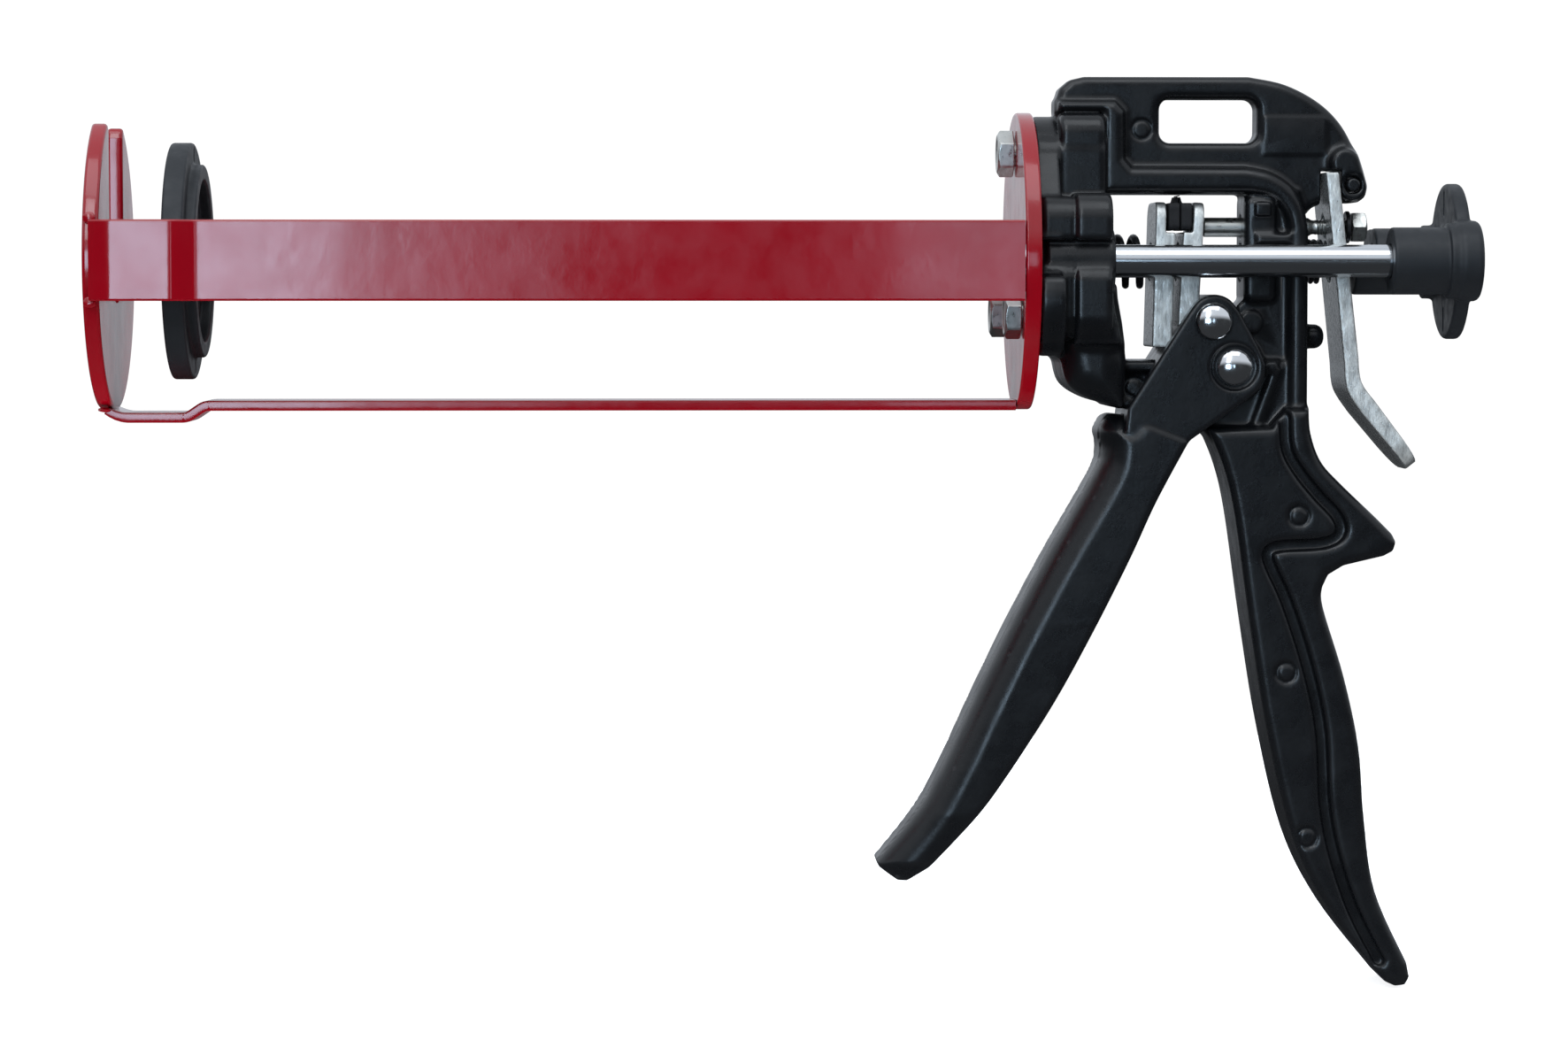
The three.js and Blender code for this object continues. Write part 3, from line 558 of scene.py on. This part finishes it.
def blob(centre, radii, wobble):
    """A bead of weld, rounded and a little lumpy."""
    rings = []
    for row in range(1, 12):
        polar = math.pi * row / 12
        rings.append([])
        for turn in [math.tau * i / 18 for i in range(18)]:
            out, up = math.sin(polar) * math.cos(turn), math.sin(polar) * math.sin(turn)
            lump = 1 + 0.12 * math.sin(3 * turn + wobble) * math.sin(2 * polar + wobble)
            way = (math.cos(polar), out, up)
            rings[-1].append(tuple(c + r * lump * unit for c, r, unit in zip(centre, radii, way)))
    return skin(rings)


rear_holes = [ring(rod_r + 0.5, (y, 0), 40) for y in (-rod_pitch, 0, rod_pitch)]
rear_mesh = plate("rear_disc", [ring(plate_r, steps=160), *rear_holes], 0, plate_t, 0.6)
fit("rear_disc", rear_mesh, red_paint.material, "gun", "red_paint", "rear_plate", sharp=50)

slot_top = plate_r * math.cos(math.asin(slot_half / plate_r))
gap_angle = math.asin((slot_half + 2.4) / plate_r)
slot_rise = 3.6
front_outline = ring(plate_r, steps=150, start=math.pi / 2 + gap_angle, sweep=math.tau - 2 * gap_angle)
front_outline += bend([
    (slot_half + 1.6, slot_top - 1.1), (slot_half + 0.5, slot_top - 2), (slot_half, slot_top - 3.6),
], 4)
front_outline += ring(slot_half, (0, slot_rise), 40, 0, -math.pi)
front_outline += bend([
    (-slot_half, slot_top - 3.6), (-slot_half - 0.5, slot_top - 2), (-slot_half - 1.6, slot_top - 1.1),
], 4)
front_mesh = plate("front_disc", [front_outline], front_x - plate_t, front_x, 0.9)
fit("front_disc", front_mesh, red_paint.material, "gun", "red_paint", "front_plate", sharp=50)

strap_half = extent("strap_bottom")[1].y
strap_t = 2.5
flush = plate_r - strap_t / 2
lapped = -extent("strap_bottom")[0].z - strap_t / 2
corner = 0.55  # radius of the strip's long edges


def strap(turn):
    """One strip, drawn below the axis and turned about it to the side that it serves."""
    run = [(-0.2, flush, 1), (-0.8, flush, 1), (front_x + 25, flush, 1), (front_x + 24, flush, 1)]
    run += [(x, r, 1) for x, r in bend([
        (front_x + 23.4, flush), (front_x + 21.6, flush + 0.35), (front_x + 18.2, lapped - 0.35),
        (front_x + 16.6, lapped),
    ], 5)]
    run += [(front_x + 16, lapped, 1), (front_x + 4.2, lapped, 1), (front_x + 3.4, lapped, 1),
            (front_x + 2.2, lapped - 0.12, 0.97), (front_x + 0.8, lapped - 0.5, 0.93),
            (front_x - 0.6, lapped - 1.1, 0.86), (front_x - 1.8, lapped - 1.7, 0.72)]
    rings = []
    for i, (x, r, share) in enumerate(run):
        before, after = run[max(i - 1, 0)], run[min(i + 1, len(run) - 1)]
        slope = math.atan2(after[1] - before[1], before[0] - after[0])
        t = strap_t / 2 * share
        section = []
        for quarter, (cy, cn) in enumerate([(1, 1), (-1, 1), (-1, -1), (1, -1)]):
            for step in range(4):
                angle = math.pi / 2 * (quarter + step / 3)
                y = cy * (strap_half - corner) + corner * math.cos(angle)
                n = cn * (t - corner * share) + corner * share * math.sin(angle)
                section.append((x + n * math.sin(slope), y, -(r + n * math.cos(slope))))
        rings.append(section)
    beads = [
        blob((front_x - 2, side_y * (strap_half + 0.4), -plate_r + 0.3), (1.5, 1.3, 0.6), side_y)
        for side_y in (-1, 1)
    ]
    mesh = together(skin(rings), *beads)
    mesh.transform(Matrix.Rotation(turn, 4, "X"))
    return mesh


for name, turn in [("strap_bottom", 0), ("strap_near", -math.pi / 2), ("strap_far", math.pi / 2)]:
    fit(name + "_strip", strap(turn), red_paint.material, "gun", "red_paint", name, sharp=50)

# ------------------------------------------------------------------ bolts
# Three M6 hexagon bolts, zinc plated, driven from the cartridge bay through the rear disc into
# the casting. The heads are forged, with the usual chamfer round the outer face.
zinc_plate = Finish("zinc_plate", (0.62, 0.63, 0.6), 1, 0.34)
zinc_plate.tint(zinc_plate.grain(3.5, 5), (0.44, 0.45, 0.42), (0.78, 0.78, 0.75))
zinc_plate.rough(zinc_plate.grain(1.2, 4), 0.24, 0.46)
zinc_plate.bump(zinc_plate.grain(2.2, 3), 0.05, 0.5)
zinc_plate.bump(zinc_plate.grain(0.4, 3), 0.012, 0.6)


def spin(profile, centre=(0, 0), along="x", steps=72, closed=False):
    """A turned shape. A profile point is a place along the axis and a radius, and the place or
    the radius may be a rule of the angle round it."""
    rings = []
    for place, radius in profile:
        one = []
        for i in range(steps):
            angle = math.tau * i / steps
            a = place(angle) if callable(place) else place
            r = radius(angle) if callable(radius) else radius
            u, v = centre[0] + r * math.cos(angle), centre[1] + r * math.sin(angle)
            one.append((a, u, v) if along == "x" else (u, a, v))
        rings.append(one)
    return skin(rings, closed)


def hexagon(flats, turn=0.0, less=0.0):
    """Radius of a six-sided bar at each angle."""
    return lambda angle: (flats / 2 - less) / math.cos((angle - turn) % (math.pi / 3) - math.pi / 6)


def chamfer(face, inner, flats, turn, sense):
    """Where a hexagon's side meets the cone that trims its corners."""
    side_at = hexagon(flats, turn)
    return lambda angle: face + sense * max(side_at(angle) - inner, 0) * 0.58


bolt_flats, bolt_r, bolt_turn = 10.0, 3, math.pi / 3 * 0.61
for name in ("bolt_top", "bolt_near", "bolt_far"):
    low, high = extent(name)
    where = ((low.y + high.y) / 2, (low.z + high.z) / 2)
    face, seat = low.x, -seam
    sides = hexagon(bolt_flats, bolt_turn)
    trimmed = chamfer(face, 4.6, bolt_flats, bolt_turn, 1)
    mesh = spin([
        (face + 0.35, 1.6), (face + 0.3, 3.2), (face + 0.05, 3.7), (face, 4.5),
        (trimmed, hexagon(bolt_flats, bolt_turn, 0.08)), (lambda angle: trimmed(angle) + 0.2, sides),
        (seat - 0.25, sides), (seat, hexagon(bolt_flats, bolt_turn, 0.25)), (seat, bolt_r),
        (high.x, bolt_r),
    ], where, steps=96)
    fit(name + "_hex", mesh, zinc_plate.material, "gun", "zinc_plate", name, sharp=24)

# ------------------------------------------------------------------ push rods
# Three 8 mm bright drawn rods. Only the middle one is gripped; the outer two steer the piston.
bright_steel = Finish("bright_steel", (0.74, 0.76, 0.79), 1, 0.16)
streaks = bright_steel.grain(1.1, 4, (0.02, 1, 1))
bright_steel.tint(streaks, (0.55, 0.57, 0.6), (0.86, 0.88, 0.9))
bright_steel.rough(bright_steel.grain(1.6, 4, (0.03, 1, 1)), 0.09, 0.22)
bright_steel.bump(bright_steel.grain(0.6, 2, (0.015, 1, 1)), 0.006, 0.8)
tapped_r = 2.2  # hole for the piston's screw
for name in ("rod_centre", "rod_near", "rod_far"):
    low, high = extent(name)
    y = (low.y + high.y) / 2
    mesh = spin([
        (low.x + 14, tapped_r), (low.x, tapped_r), (low.x, rod_r - 0.5), (low.x + 0.5, rod_r),
        (high.x - 0.6, rod_r), (high.x, rod_r - 0.6),
    ], (y, 0))
    fit(name + "_bar", mesh, bright_steel.material, "push_rods", "bright_steel", name, sharp=30)

# ------------------------------------------------------------------ piston and its screws
# A moulded disc that presses on the cartridge's plunger, with a stiffening ring behind. A
# socket screw through its face holds each rod.
black_plastic = Finish("black_plastic", (0.013, 0.015, 0.018), 0, 0.52, Specular_IOR_Level=0.4)
black_plastic.tint(black_plastic.grain(12, 4), (0.011, 0.0125, 0.015), (0.017, 0.02, 0.024))
black_plastic.rough(black_plastic.grain(3, 3), 0.44, 0.6)
black_plastic.bump(black_plastic.grain(0.5, 2), 0.02, 0.7)

low, high = extent("piston")
piston_r, piston_front, hub_back = high.z, low.x, high.x
hub_front = hub_back - 2.5
hub_r = piston_r - 5.3
m = Mould((piston_front - 1.5, -piston_r - 1.5, -piston_r - 1.5),
          (hub_back + 1.6, piston_r + 1.6, piston_r + 1.6), 0.34)
m.add(m.disc((0, 0), piston_r, "yz"), m.between("x", piston_front, hub_front), 0.6, 0.3)
m.add(m.disc((0, 0), hub_r, "yz"), m.between("x", hub_front - 1, hub_back), 0.45, 0.8)
m.cut(m.disc((0, 0), hub_r - 3.8, "yz"), m.between("x", hub_front - 0.4, hub_back + 5), 0.3, 0.4)
for y in (0, rod_pitch):
    m.add(m.disc((y, 0), rod_r + 3, "yz"), m.between("x", hub_front - 1, hub_back - 0.4), 0.4, 0.8)
for z in (hub_r + 2.2, -hub_r - 2.2):
    notch = m.outline(box(-0.6, z - 1.6, 0.6, z + 1.6), "yz")
    m.cut(notch, m.between("x", hub_front - 1.2, hub_front + 3), 0.2, 0.3)
# for each rod, its socket, the room for a screw's head, and the screw's hole
beyond = -400
for y in (0, rod_pitch):
    m.cut(m.disc((y, 0), rod_r + seam, "yz"), m.between("x", piston_front + 3.3, 0), 0.2, 0.3)
    m.cut(m.disc((y, 0), 4.3, "yz"), m.between("x", beyond, piston_front + 1.8), 0.2, 0.3)
    m.cut(m.disc((y, 0), 2.4, "yz"), m.between("x", beyond, 0), 0.2, 0.2)
mesh = m.cast("piston_disc", 0.5)
fit("piston_disc", mesh, black_plastic.material, "push_rods", "black_plastic", "piston")

for name in ("piston_screw_centre", "piston_screw_near", "piston_screw_far"):
    low, high = extent(name)
    y = (low.y + high.y) / 2
    mesh = spin([
        (low.x + 1.1, hexagon(3, 0)), (low.x + 0.1, hexagon(3, 0)), (low.x, hexagon(3.3, 0)),
        (low.x, 3.5), (low.x + 0.3, 3.9), (low.x + 1.4, 3.9), (low.x + 1.4, 2), (high.x, 2),
    ], (y, 0))
    fit(name + "_cap", mesh, zinc_plate.material, "push_rods", "zinc_plate", name, sharp=30)

# ------------------------------------------------------------------ rear yoke
# Moulded handle on the back ends of the rods, with a round flange to pull them back by. The
# rods are pressed into its three sockets.
low, high = extent("rear_yoke")
back_x = high.x
disc_x = back_x - 5.5
skirt = rod_r + 4.2
m = Mould((low.x - 1.5, low.y - 1.5, low.z - 1.5), (high.x + 1.6, high.y + 1.6, high.z + 1.6), 0.36)
m.add(m.disc((0, 0), skirt, "yz"), m.between("x", low.x, disc_x + 1), 0.6, 0.8)
m.add(m.disc((rod_pitch, 0), skirt, "yz"), m.between("x", 90, disc_x + 1), 0.5, 0.8)
m.add(m.disc((rod_pitch, 0), skirt + 1, "yz"), m.between("x", 103.6, disc_x + 0.4), 0.3, 0.5)
m.add(m.disc((rod_pitch, 0), skirt + 1.6, "yz"), m.between("x", 105.7, back_x), 1.4, 0.6)
m.add(m.disc((0, 0), skirt + 1.2, "yz"), m.between("x", 105.6, back_x - 0.5), 1.2, 0.6)
m.add(m.disc((0, 0), high.z, "yz"), m.between("x", disc_x, back_x - 1.8), 0.9, 0.7)
bridge = box(-1, -5, rod_pitch, 5)
m.add(m.outline(bridge, "yz"), m.between("x", 91, back_x - 1), 0.6, 1.0)
for z in (14.2, -14.2):
    notch = m.outline(box(-0.5, z - 2.8, 0.5, z + 2.8), "yz")
    m.cut(notch, m.between("x", 100, disc_x + 0.8), 0.2, 0.3)
for y in (0, rod_pitch):
    m.cut(m.disc((y, 0), rod_r + 0.2, "yz"), m.between("x", 80, 108.2), 0.2, 0.3)
m.cut(m.outline(box(-9, rod_r, 9, 13.4), "yz"), m.between("x", 80, 88.3), 0.3, 0.5)
mesh = m.cast("yoke_moulding", 0.5)
fit("yoke_moulding", mesh, black_plastic.material, "push_rods", "black_plastic", "rear_yoke")

# ------------------------------------------------------------------ drive plates and pads
# Two hardened plates on the middle rod. The trigger's roller tips them until their holes bite;
# rubber pads between their upper ends keep them apart. Their edges are left as sheared.
sheared = Finish("sheared_zinc", (0.6, 0.6, 0.58), 0.6, 0.38)
shear_marks = sheared.grain(2.2, 5, (1.6, 1, 0.5), 0.7)
sheared_and_lit_sides = sheared.sideways()
torn = sheared.ranged(shear_marks, 0.3, 0.66, 0.35, 1)
# Painted light and shade, partly real: faces turned to the gun's sides, the sheared edges among them,
# are painted lighter, and faces along the gun are painted darker, as the light falls; the sheared
# steel's own tone is only part of it.
torn_and_lit_patches = sheared.times(torn, sheared.ranged(sheared_and_lit_sides, 0, 1, 0.22, 1))
sheared.tint(torn_and_lit_patches, (0.1, 0.105, 0.11), (0.95, 0.97, 0.94))
dulled = sheared.times(sheared.grain(0.9, 4), sheared.ranged(sheared_and_lit_sides, 0, 1, 0.7, 1.25))
sheared.rough(dulled, 0.22, 0.55)
sheared.bump(sheared.times(shear_marks, sheared_and_lit_sides), 0.3, 0.7)
sheared.bump(sheared.grain(0.45, 3), 0.03, 0.6)
drive_t = 4.9
for name, lean, rebate_side in [("drive_plate_front", 1.5, 1), ("drive_plate_rear", 3, -1)]:
    low, high = extent(name)
    middle = (low.x + high.x) / 2 + (low.z + high.z) / 2 * math.sin(math.radians(-lean))
    m = Mould((-4, -11.5, -22.5), (4.1, 11.6, 16.1), 0.3)
    body_plan = [(-6.2, -20), (6.2, -20), (6.2, 10.4), (-6.2, 10.4)]
    plan = np.maximum(m.outline(body_plan, "yz") - 4.0, m.between("z", -21, 30))
    m.add(plan, m.between("x", -drive_t / 2, drive_t / 2), 0.4, 0.3)
    x0, x1 = (0.15, 9) if rebate_side > 0 else (-9, -0.15)
    m.cut(np.broadcast_to(m.between("z", 7, 30), plan.shape), m.between("x", x0, x1), 0.3, 0.5)
    m.cut(m.disc((0, 0), rod_r + 0.5, "yz"), m.between("x", -9, 9), 0.2, 0.4)
    mesh = m.cast(name + "_cut", 0.6)
    mesh.transform(Matrix.Translation((middle, 0, 0)) @ Matrix.Rotation(math.radians(lean), 4, "Y"))
    fit(name + "_cut", mesh, sheared.material, "drive", "zinc_plate", name)

rubber = Finish("rubber", (0.013, 0.013, 0.014), 0, 0.8, Specular_IOR_Level=0.35)
rubber.tint(rubber.grain(4, 4), (0.01, 0.01, 0.011), (0.022, 0.022, 0.024))
rubber.rough(rubber.grain(2, 3), 0.7, 0.9)
rubber.bump(rubber.grain(0.35, 3), 0.02, 0.8)
for name, nib_side in [("drive_pad_front", 1), ("drive_pad_rear", -1)]:
    low, high = extent(name)
    m = Mould((low.x - 1, low.y - 1, low.z - 1), (high.x + 1.1, high.y + 1.1, high.z + 3.4), 0.25)
    y0, z0, y1, z1 = low.y + 1.5, low.z + 1.5, high.y - 1.5, high.z - 1.5
    pad = [(y0, z0), (y1, z0), (y1, z1), (y0, z1)]
    m.add(m.outline(pad, "yz") - 1.4, m.between("x", low.x, high.x), 0.35, 0.3)
    # a nib stands up where the two pads meet
    meet = high.x if nib_side > 0 else low.x
    nib = [(meet, high.z - 1), (meet, high.z + 2.2), (meet - 0.9 * nib_side, high.z - 1)]
    m.add(m.outline(nib), m.between("y", -6, 6), 0.1, 0.3)
    fit(name + "_rubber", m.cast(name, 0.5), rubber.material, "drive", "rubber", name)

# ------------------------------------------------------------------ springs
# Blackened round-wire coils on the middle rod: a stout one returns the drive plates, and a
# light one keeps the catch lever tipped.
spring_steel = Finish("spring_steel", (0.03, 0.03, 0.033), 0.75, 0.34)
spring_steel.tint(spring_steel.grain(2, 4), (0.018, 0.018, 0.02), (0.06, 0.06, 0.065))
spring_steel.rough(spring_steel.grain(1.2, 3), 0.26, 0.44)
spring_steel.bump(spring_steel.grain(0.5, 3), 0.012, 0.6)


def coil(x0, x1, wire, radius, turns):
    """Round wire wound about the rods' axis, with its end turns closed up."""
    rings = []
    steps = int(turns * 40)
    for i in range(steps + 1):
        t = i / steps
        ease = t * t * (3 - 2 * t)
        x = x0 + wire + (x1 - x0 - 2 * wire) * (0.65 * t + 0.35 * ease)
        angle = math.tau * turns * t
        out = Vector((0, math.cos(angle), math.sin(angle)))
        middle = Vector((x, 0, 0)) + out * radius
        rings.append([
            tuple(middle + Vector((1, 0, 0)) * wire * math.cos(a) + out * wire * math.sin(a))
            for a in [math.tau * k / 12 for k in range(12)]
        ])
    return skin(rings)


# Each coil gets its own copy of its mesh; the joint and travel listed with it are not used.
for name, wire, turns, joint, travel in [
    ("drive_spring", 0.9, 4.1, "drive_slide", 4.9), ("catch_spring", 0.6, 2.6, "lever_tilt", 1.9),
]:
    low, high = extent(name)
    radius = max(high.z, -low.z, high.y, -low.y) - wire
    mesh = coil(low.x, high.x, wire, radius, turns)
    piece = fit(name + "_coil", mesh, spring_steel.material, "gun", "spring_steel", name)
    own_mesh(piece)

# ------------------------------------------------------------------ catch lever
# A cranked strip of zinc-plated steel, 3.2 mm thick. It hangs in the casting's pocket and its
# hole bites on the middle rod; pressing its tail frees the rods. The tail's end is rounded.
lever_t = 3.2
lever_half = extent("catch_lever")[1].y
lever_top = Vector((76.6, 21.6))
lever_bend = Vector((82.3, -30.8))
lever_tip = Vector((97.4, -50.1))
tail = (lever_tip - lever_bend).normalized()
h = lever_t / 2
lever_side = [
    (lever_top.x - h, lever_top.y), *bend([
        (lever_bend.x - h - 0.9, lever_bend.y + 6), (lever_bend.x - h - 0.1, lever_bend.y - 0.6),
        (lever_bend.x - h + 3.6, lever_bend.y - 6.4)], 5),
    (lever_tip.x - h * 0.8, lever_tip.y - 1), (lever_tip.x + h * 0.8, lever_tip.y + 1),
    *bend([(lever_bend.x + h + 3.6, lever_bend.y - 3.4), (lever_bend.x + h + 0.2, lever_bend.y + 1.4),
           (lever_bend.x + h - 0.6, lever_bend.y + 7.6)], 5),
    (lever_top.x + h, lever_top.y),
]
m = Mould((72.5, -13.5, -53), (100.5, 13.6, 24), 0.36)
xs, zs = m.axes[0].reshape(-1, 1, 1), m.axes[2].reshape(1, 1, -1)
ys = m.axes[1].reshape(1, -1, 1)
# seen square on, the strip has straight sides and a tail with rounded corners
down_tail = (xs - lever_bend.x) * tail.x + (zs - lever_bend.y) * tail.y
tail_long, tail_r = (lever_tip - lever_bend).length, 7.5
over_y, over_s = ys - (lever_half - tail_r), down_tail - (tail_long - tail_r)
plan = np.hypot(np.maximum(over_y, 0), np.maximum(over_s, 0))
plan = plan + np.minimum(np.maximum(over_y, over_s), 0) - tail_r
m.add(m.outline(lever_side), plan, 0.35, 0.3)
m.cut(m.disc((0, 0), rod_r + 1, "yz"), m.between("x", 60, 100), 0.2, 0.4)
m.cut(m.disc((0, drip_z), 3, "yz"), m.between("x", 60, 100), 0.2, 0.4)
mesh = m.cast("lever_strip", 0.6)
fit("lever_strip", mesh, sheared.material, "catch_lever", "zinc_plate", "catch_lever")

low, high = extent("lever_pin")
pin_r = (high.x - low.x) / 2
mesh = spin([
    (low.y, pin_r - 0.6), (low.y + 0.2, pin_r - 0.2), (low.y + 0.6, pin_r), (high.y - 0.6, pin_r),
    (high.y - 0.2, pin_r - 0.2), (high.y, pin_r - 0.6),
], ((low.x + high.x) / 2, (low.z + high.z) / 2), "y", 40)
fit("lever_pin_bar", mesh, black_paint.material, "gun", "spring_steel", "lever_pin", sharp=50)

# ------------------------------------------------------------------ drip pin
# A slim turned pin over the middle rod. It lets the lever slip back after each stroke so that
# the cartridge stops dripping, and a washer and nut on its thread set how far.
low, high = extent("drip_pin")
pin_z = (low.z + high.z) / 2
pin_r, core_r, pitch = 2.4, 1.7, 0.8
thread_from = 74.4


def thread(x):
    """Radius of the thread at a place along the pin, for each angle round it."""
    return lambda angle: core_r + 0.3 * abs(2 * ((x / pitch - angle / math.tau) % 1) - 1)


profile = [
    (low.x, 1.6), (low.x + 0.6, pin_r), (71.6, pin_r), (72.4, pin_r - 0.1), (73.2, pin_r - 0.6),
    (73.8, core_r),
]
row_step = 0.1
rows = int((high.x - 0.4 - thread_from) / row_step)
profile += [
    (thread_from + row_step * i, thread(thread_from + row_step * i)) for i in range(rows)
]
profile += [(high.x - 0.3, 1.6), (high.x, 1.2)]
mesh = spin(profile, (0, pin_z), steps=48)
fit("drip_pin_rod", mesh, zinc_plate.material, "drip_pin", "zinc_plate", "drip_pin", sharp=40)

low, high = extent("drip_washer")
hole_r = 2.3
mesh = spin([
    (low.x, hole_r), (low.x, high.y - 0.2), (low.x + 0.2, high.y), (high.x - 0.2, high.y),
    (high.x, high.y - 0.2), (high.x, hole_r),
], (0, pin_z), steps=56, closed=True)
fit("drip_washer_ring", mesh, spring_steel.material, "drip_pin", "zinc_plate", "drip_washer", sharp=35)

low, high = extent("drip_nut")
nut_flats = 7.0
front_trim = chamfer(low.x, 3.3, nut_flats, 0, 1)
back_trim = chamfer(high.x, 3.2, nut_flats, 0, -1)
mesh = spin([
    (low.x, hole_r), (low.x, 3.2), (front_trim, hexagon(nut_flats, 0, 0.06)),
    (lambda angle: front_trim(angle) + 0.15, hexagon(nut_flats)),
    (lambda angle: back_trim(angle) - 0.15, hexagon(nut_flats)),
    (back_trim, hexagon(nut_flats, 0, 0.06)), (high.x, 3.1), (high.x, hole_r),
], (0, pin_z), steps=96, closed=True)
fit("drip_nut_hex", mesh, zinc_plate.material, "drip_pin", "zinc_plate", "drip_nut", sharp=24)

# ------------------------------------------------------------------ rivets and roller
# Two chromed rivets with domed heads cross the trigger's cheeks. The lower one is its pivot;
# the upper one carries a loose steel roller that pushes the drive plates.
chrome = Finish("chrome", (0.82, 0.83, 0.85), 1, 0.08)
chrome.tint(chrome.grain(5, 4), (0.7, 0.71, 0.73), (0.88, 0.89, 0.9))
chrome.rough(chrome.grain(1.4, 4), 0.08, 0.2)
chrome.bump(chrome.grain(2.4, 2), 0.02, 0.4)
head_r, crown = 4.6, 2.5
for name, body, shank in [("fulcrum_rivet", "gun", 3.4), ("push_rivet", "trigger", 2.4)]:
    low, high = extent(name)
    centre_xz = ((low.x + high.x) / 2, (low.z + high.z) / 2)
    seat = high.y - crown
    turns = [math.radians(degrees) for degrees in range(4, 85, 8)]
    dome = [(seat + crown * math.cos(a), head_r * math.sin(a)) for a in turns]
    dome = [*dome, (seat + 0.12, head_r), (seat, head_r - 0.12), (seat, shank)]
    mesh = spin([*dome, *[(-y, r) for y, r in reversed(dome)]], centre_xz, "y", 72)
    fit(name + "_domed", mesh, chrome.material, body, "chrome", name, sharp=50)

low, high = extent("push_roller")
roller_r, roller_bore = (high.x - low.x) / 2, 2.65
mesh = spin([
    (low.y, roller_bore), (low.y, roller_r - 0.2), (low.y + 0.2, roller_r),
    (high.y - 0.2, roller_r), (high.y, roller_r - 0.2), (high.y, roller_bore),
], ((low.x + high.x) / 2, (low.z + high.z) / 2), "y", 56, closed=True)
fit("push_roller_tube", mesh, zinc_plate.material, "roller", "zinc_plate", "push_roller", sharp=35)

# ------------------------------------------------------------------ studio
# A plain pale floor and soft light. The room is bright overhead and dim level with the gun and
# below it, and plain white where the camera looks. Cards stand left and right of the camera.
floor = bpy.data.meshes.new("floor")
floor_corners = [(x, y, 0) for x, y in [(-0.5, -0.17), (0.5, -0.17), (0.5, 0.6), (-0.5, 0.6)]]
floor.from_pydata(floor_corners, [], [(0, 1, 2, 3)])
floor.transform(Matrix.Translation((0, 0, -0.0004)))
floor_paint = Finish("floor_paint", (0.8, 0.8, 0.8), 0, 0.9, Emission_Strength=0.8)
floor_paint.shader.inputs["Emission Color"].default_value = (1, 1, 1, 1)
floor_paint.rough(floor_paint.grain(200), 0.85, 0.95)
floor.materials.append(floor_paint.material)
ground = bpy.data.objects.new("floor", floor)
bpy.context.scene.collection.objects.link(ground)
ground.visible_glossy = False
ground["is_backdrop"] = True

world = bpy.data.worlds.new("studio")
bpy.context.scene.world = world
world.use_nodes = True
air = world.node_tree.nodes
join = world.node_tree.links.new
sky = air["Background"]
sky.inputs["Color"].default_value = (0.86, 0.92, 1, 1)
lean = air.new("ShaderNodeVectorMath")
lean.operation = "DOT_PRODUCT"
lean.inputs[1].default_value = (0, 0.15, 0.99)
join(air.new("ShaderNodeTexCoord").outputs["Generated"], lean.inputs[0])
span = air.new("ShaderNodeMapRange")
for socket, value in [("From Min", 0), ("From Max", 0.25), ("To Min", 0.04), ("To Max", 0.8)]:
    span.inputs[socket].default_value = value
join(lean.outputs["Value"], span.inputs["Value"])
join(span.outputs["Result"], sky.inputs["Strength"])
plain = air.new("ShaderNodeBackground")
plain.inputs["Color"].default_value = (1, 1, 1, 1)
plain.inputs["Strength"].default_value = 1.05
pick = air.new("ShaderNodeMixShader")
join(air.new("ShaderNodeLightPath").outputs["Is Camera Ray"], pick.inputs["Fac"])
join(sky.outputs["Background"], pick.inputs[1])
join(plain.outputs["Background"], pick.inputs[2])
join(pick.outputs["Shader"], air["World Output"].inputs["Surface"])

centre = (cad_low + cad_high) / 2
for name, offset, size, power, colour in [
    ("top_light", (-0.1, -0.5, 1.15), (1.5, 0.7), 6, (0.9, 0.95, 1)),
    ("key_light", (-0.35, -1.2, 0.8), (0.35, 0.8), 4, (0.9, 0.95, 1)),
    ("left_card", (-0.44, -1.5, 0.09), (0.46, 0.36), 4.2, (0.6, 0.8, 1)),
    ("left_fill", (-0.15, -1.5, 0.09), (0.12, 0.3), 0.14, (0.6, 0.8, 1)),
    ("right_card", (0.165, -1.5, 0.1), (0.12, 0.26), 0.26, (0.6, 0.8, 1)),
]:
    lamp = bpy.data.lights.new(name, "AREA")
    lamp.shape = "RECTANGLE"
    lamp.color = colour
    lamp.size, lamp.size_y = size
    lamp.energy = power
    holder = bpy.data.objects.new(name, lamp)
    holder.location = centre + Vector(offset)
    holder.rotation_euler = (-Vector(offset)).to_track_quat("-Z", "Y").to_euler()
    bpy.context.scene.collection.objects.link(holder)

camera = bpy.data.cameras.new("camera")
camera.lens, camera.sensor_width = 99.55, 36
camera.clip_start, camera.clip_end = 0.05, 100
eye = DRAWN @ Vector((-87.155, -1065.217, -7.535))
aim = DRAWN @ Vector((-56.5, 0, -66.34))
tripod = bpy.data.objects.new("camera", camera)
tripod.location = eye
tripod.rotation_euler = (aim - eye).to_track_quat("-Z", "Y").to_euler()
bpy.context.scene.collection.objects.link(tripod)
bpy.context.scene.camera = tripod
bpy.context.scene.view_settings.view_transform = "Standard"

low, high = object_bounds()
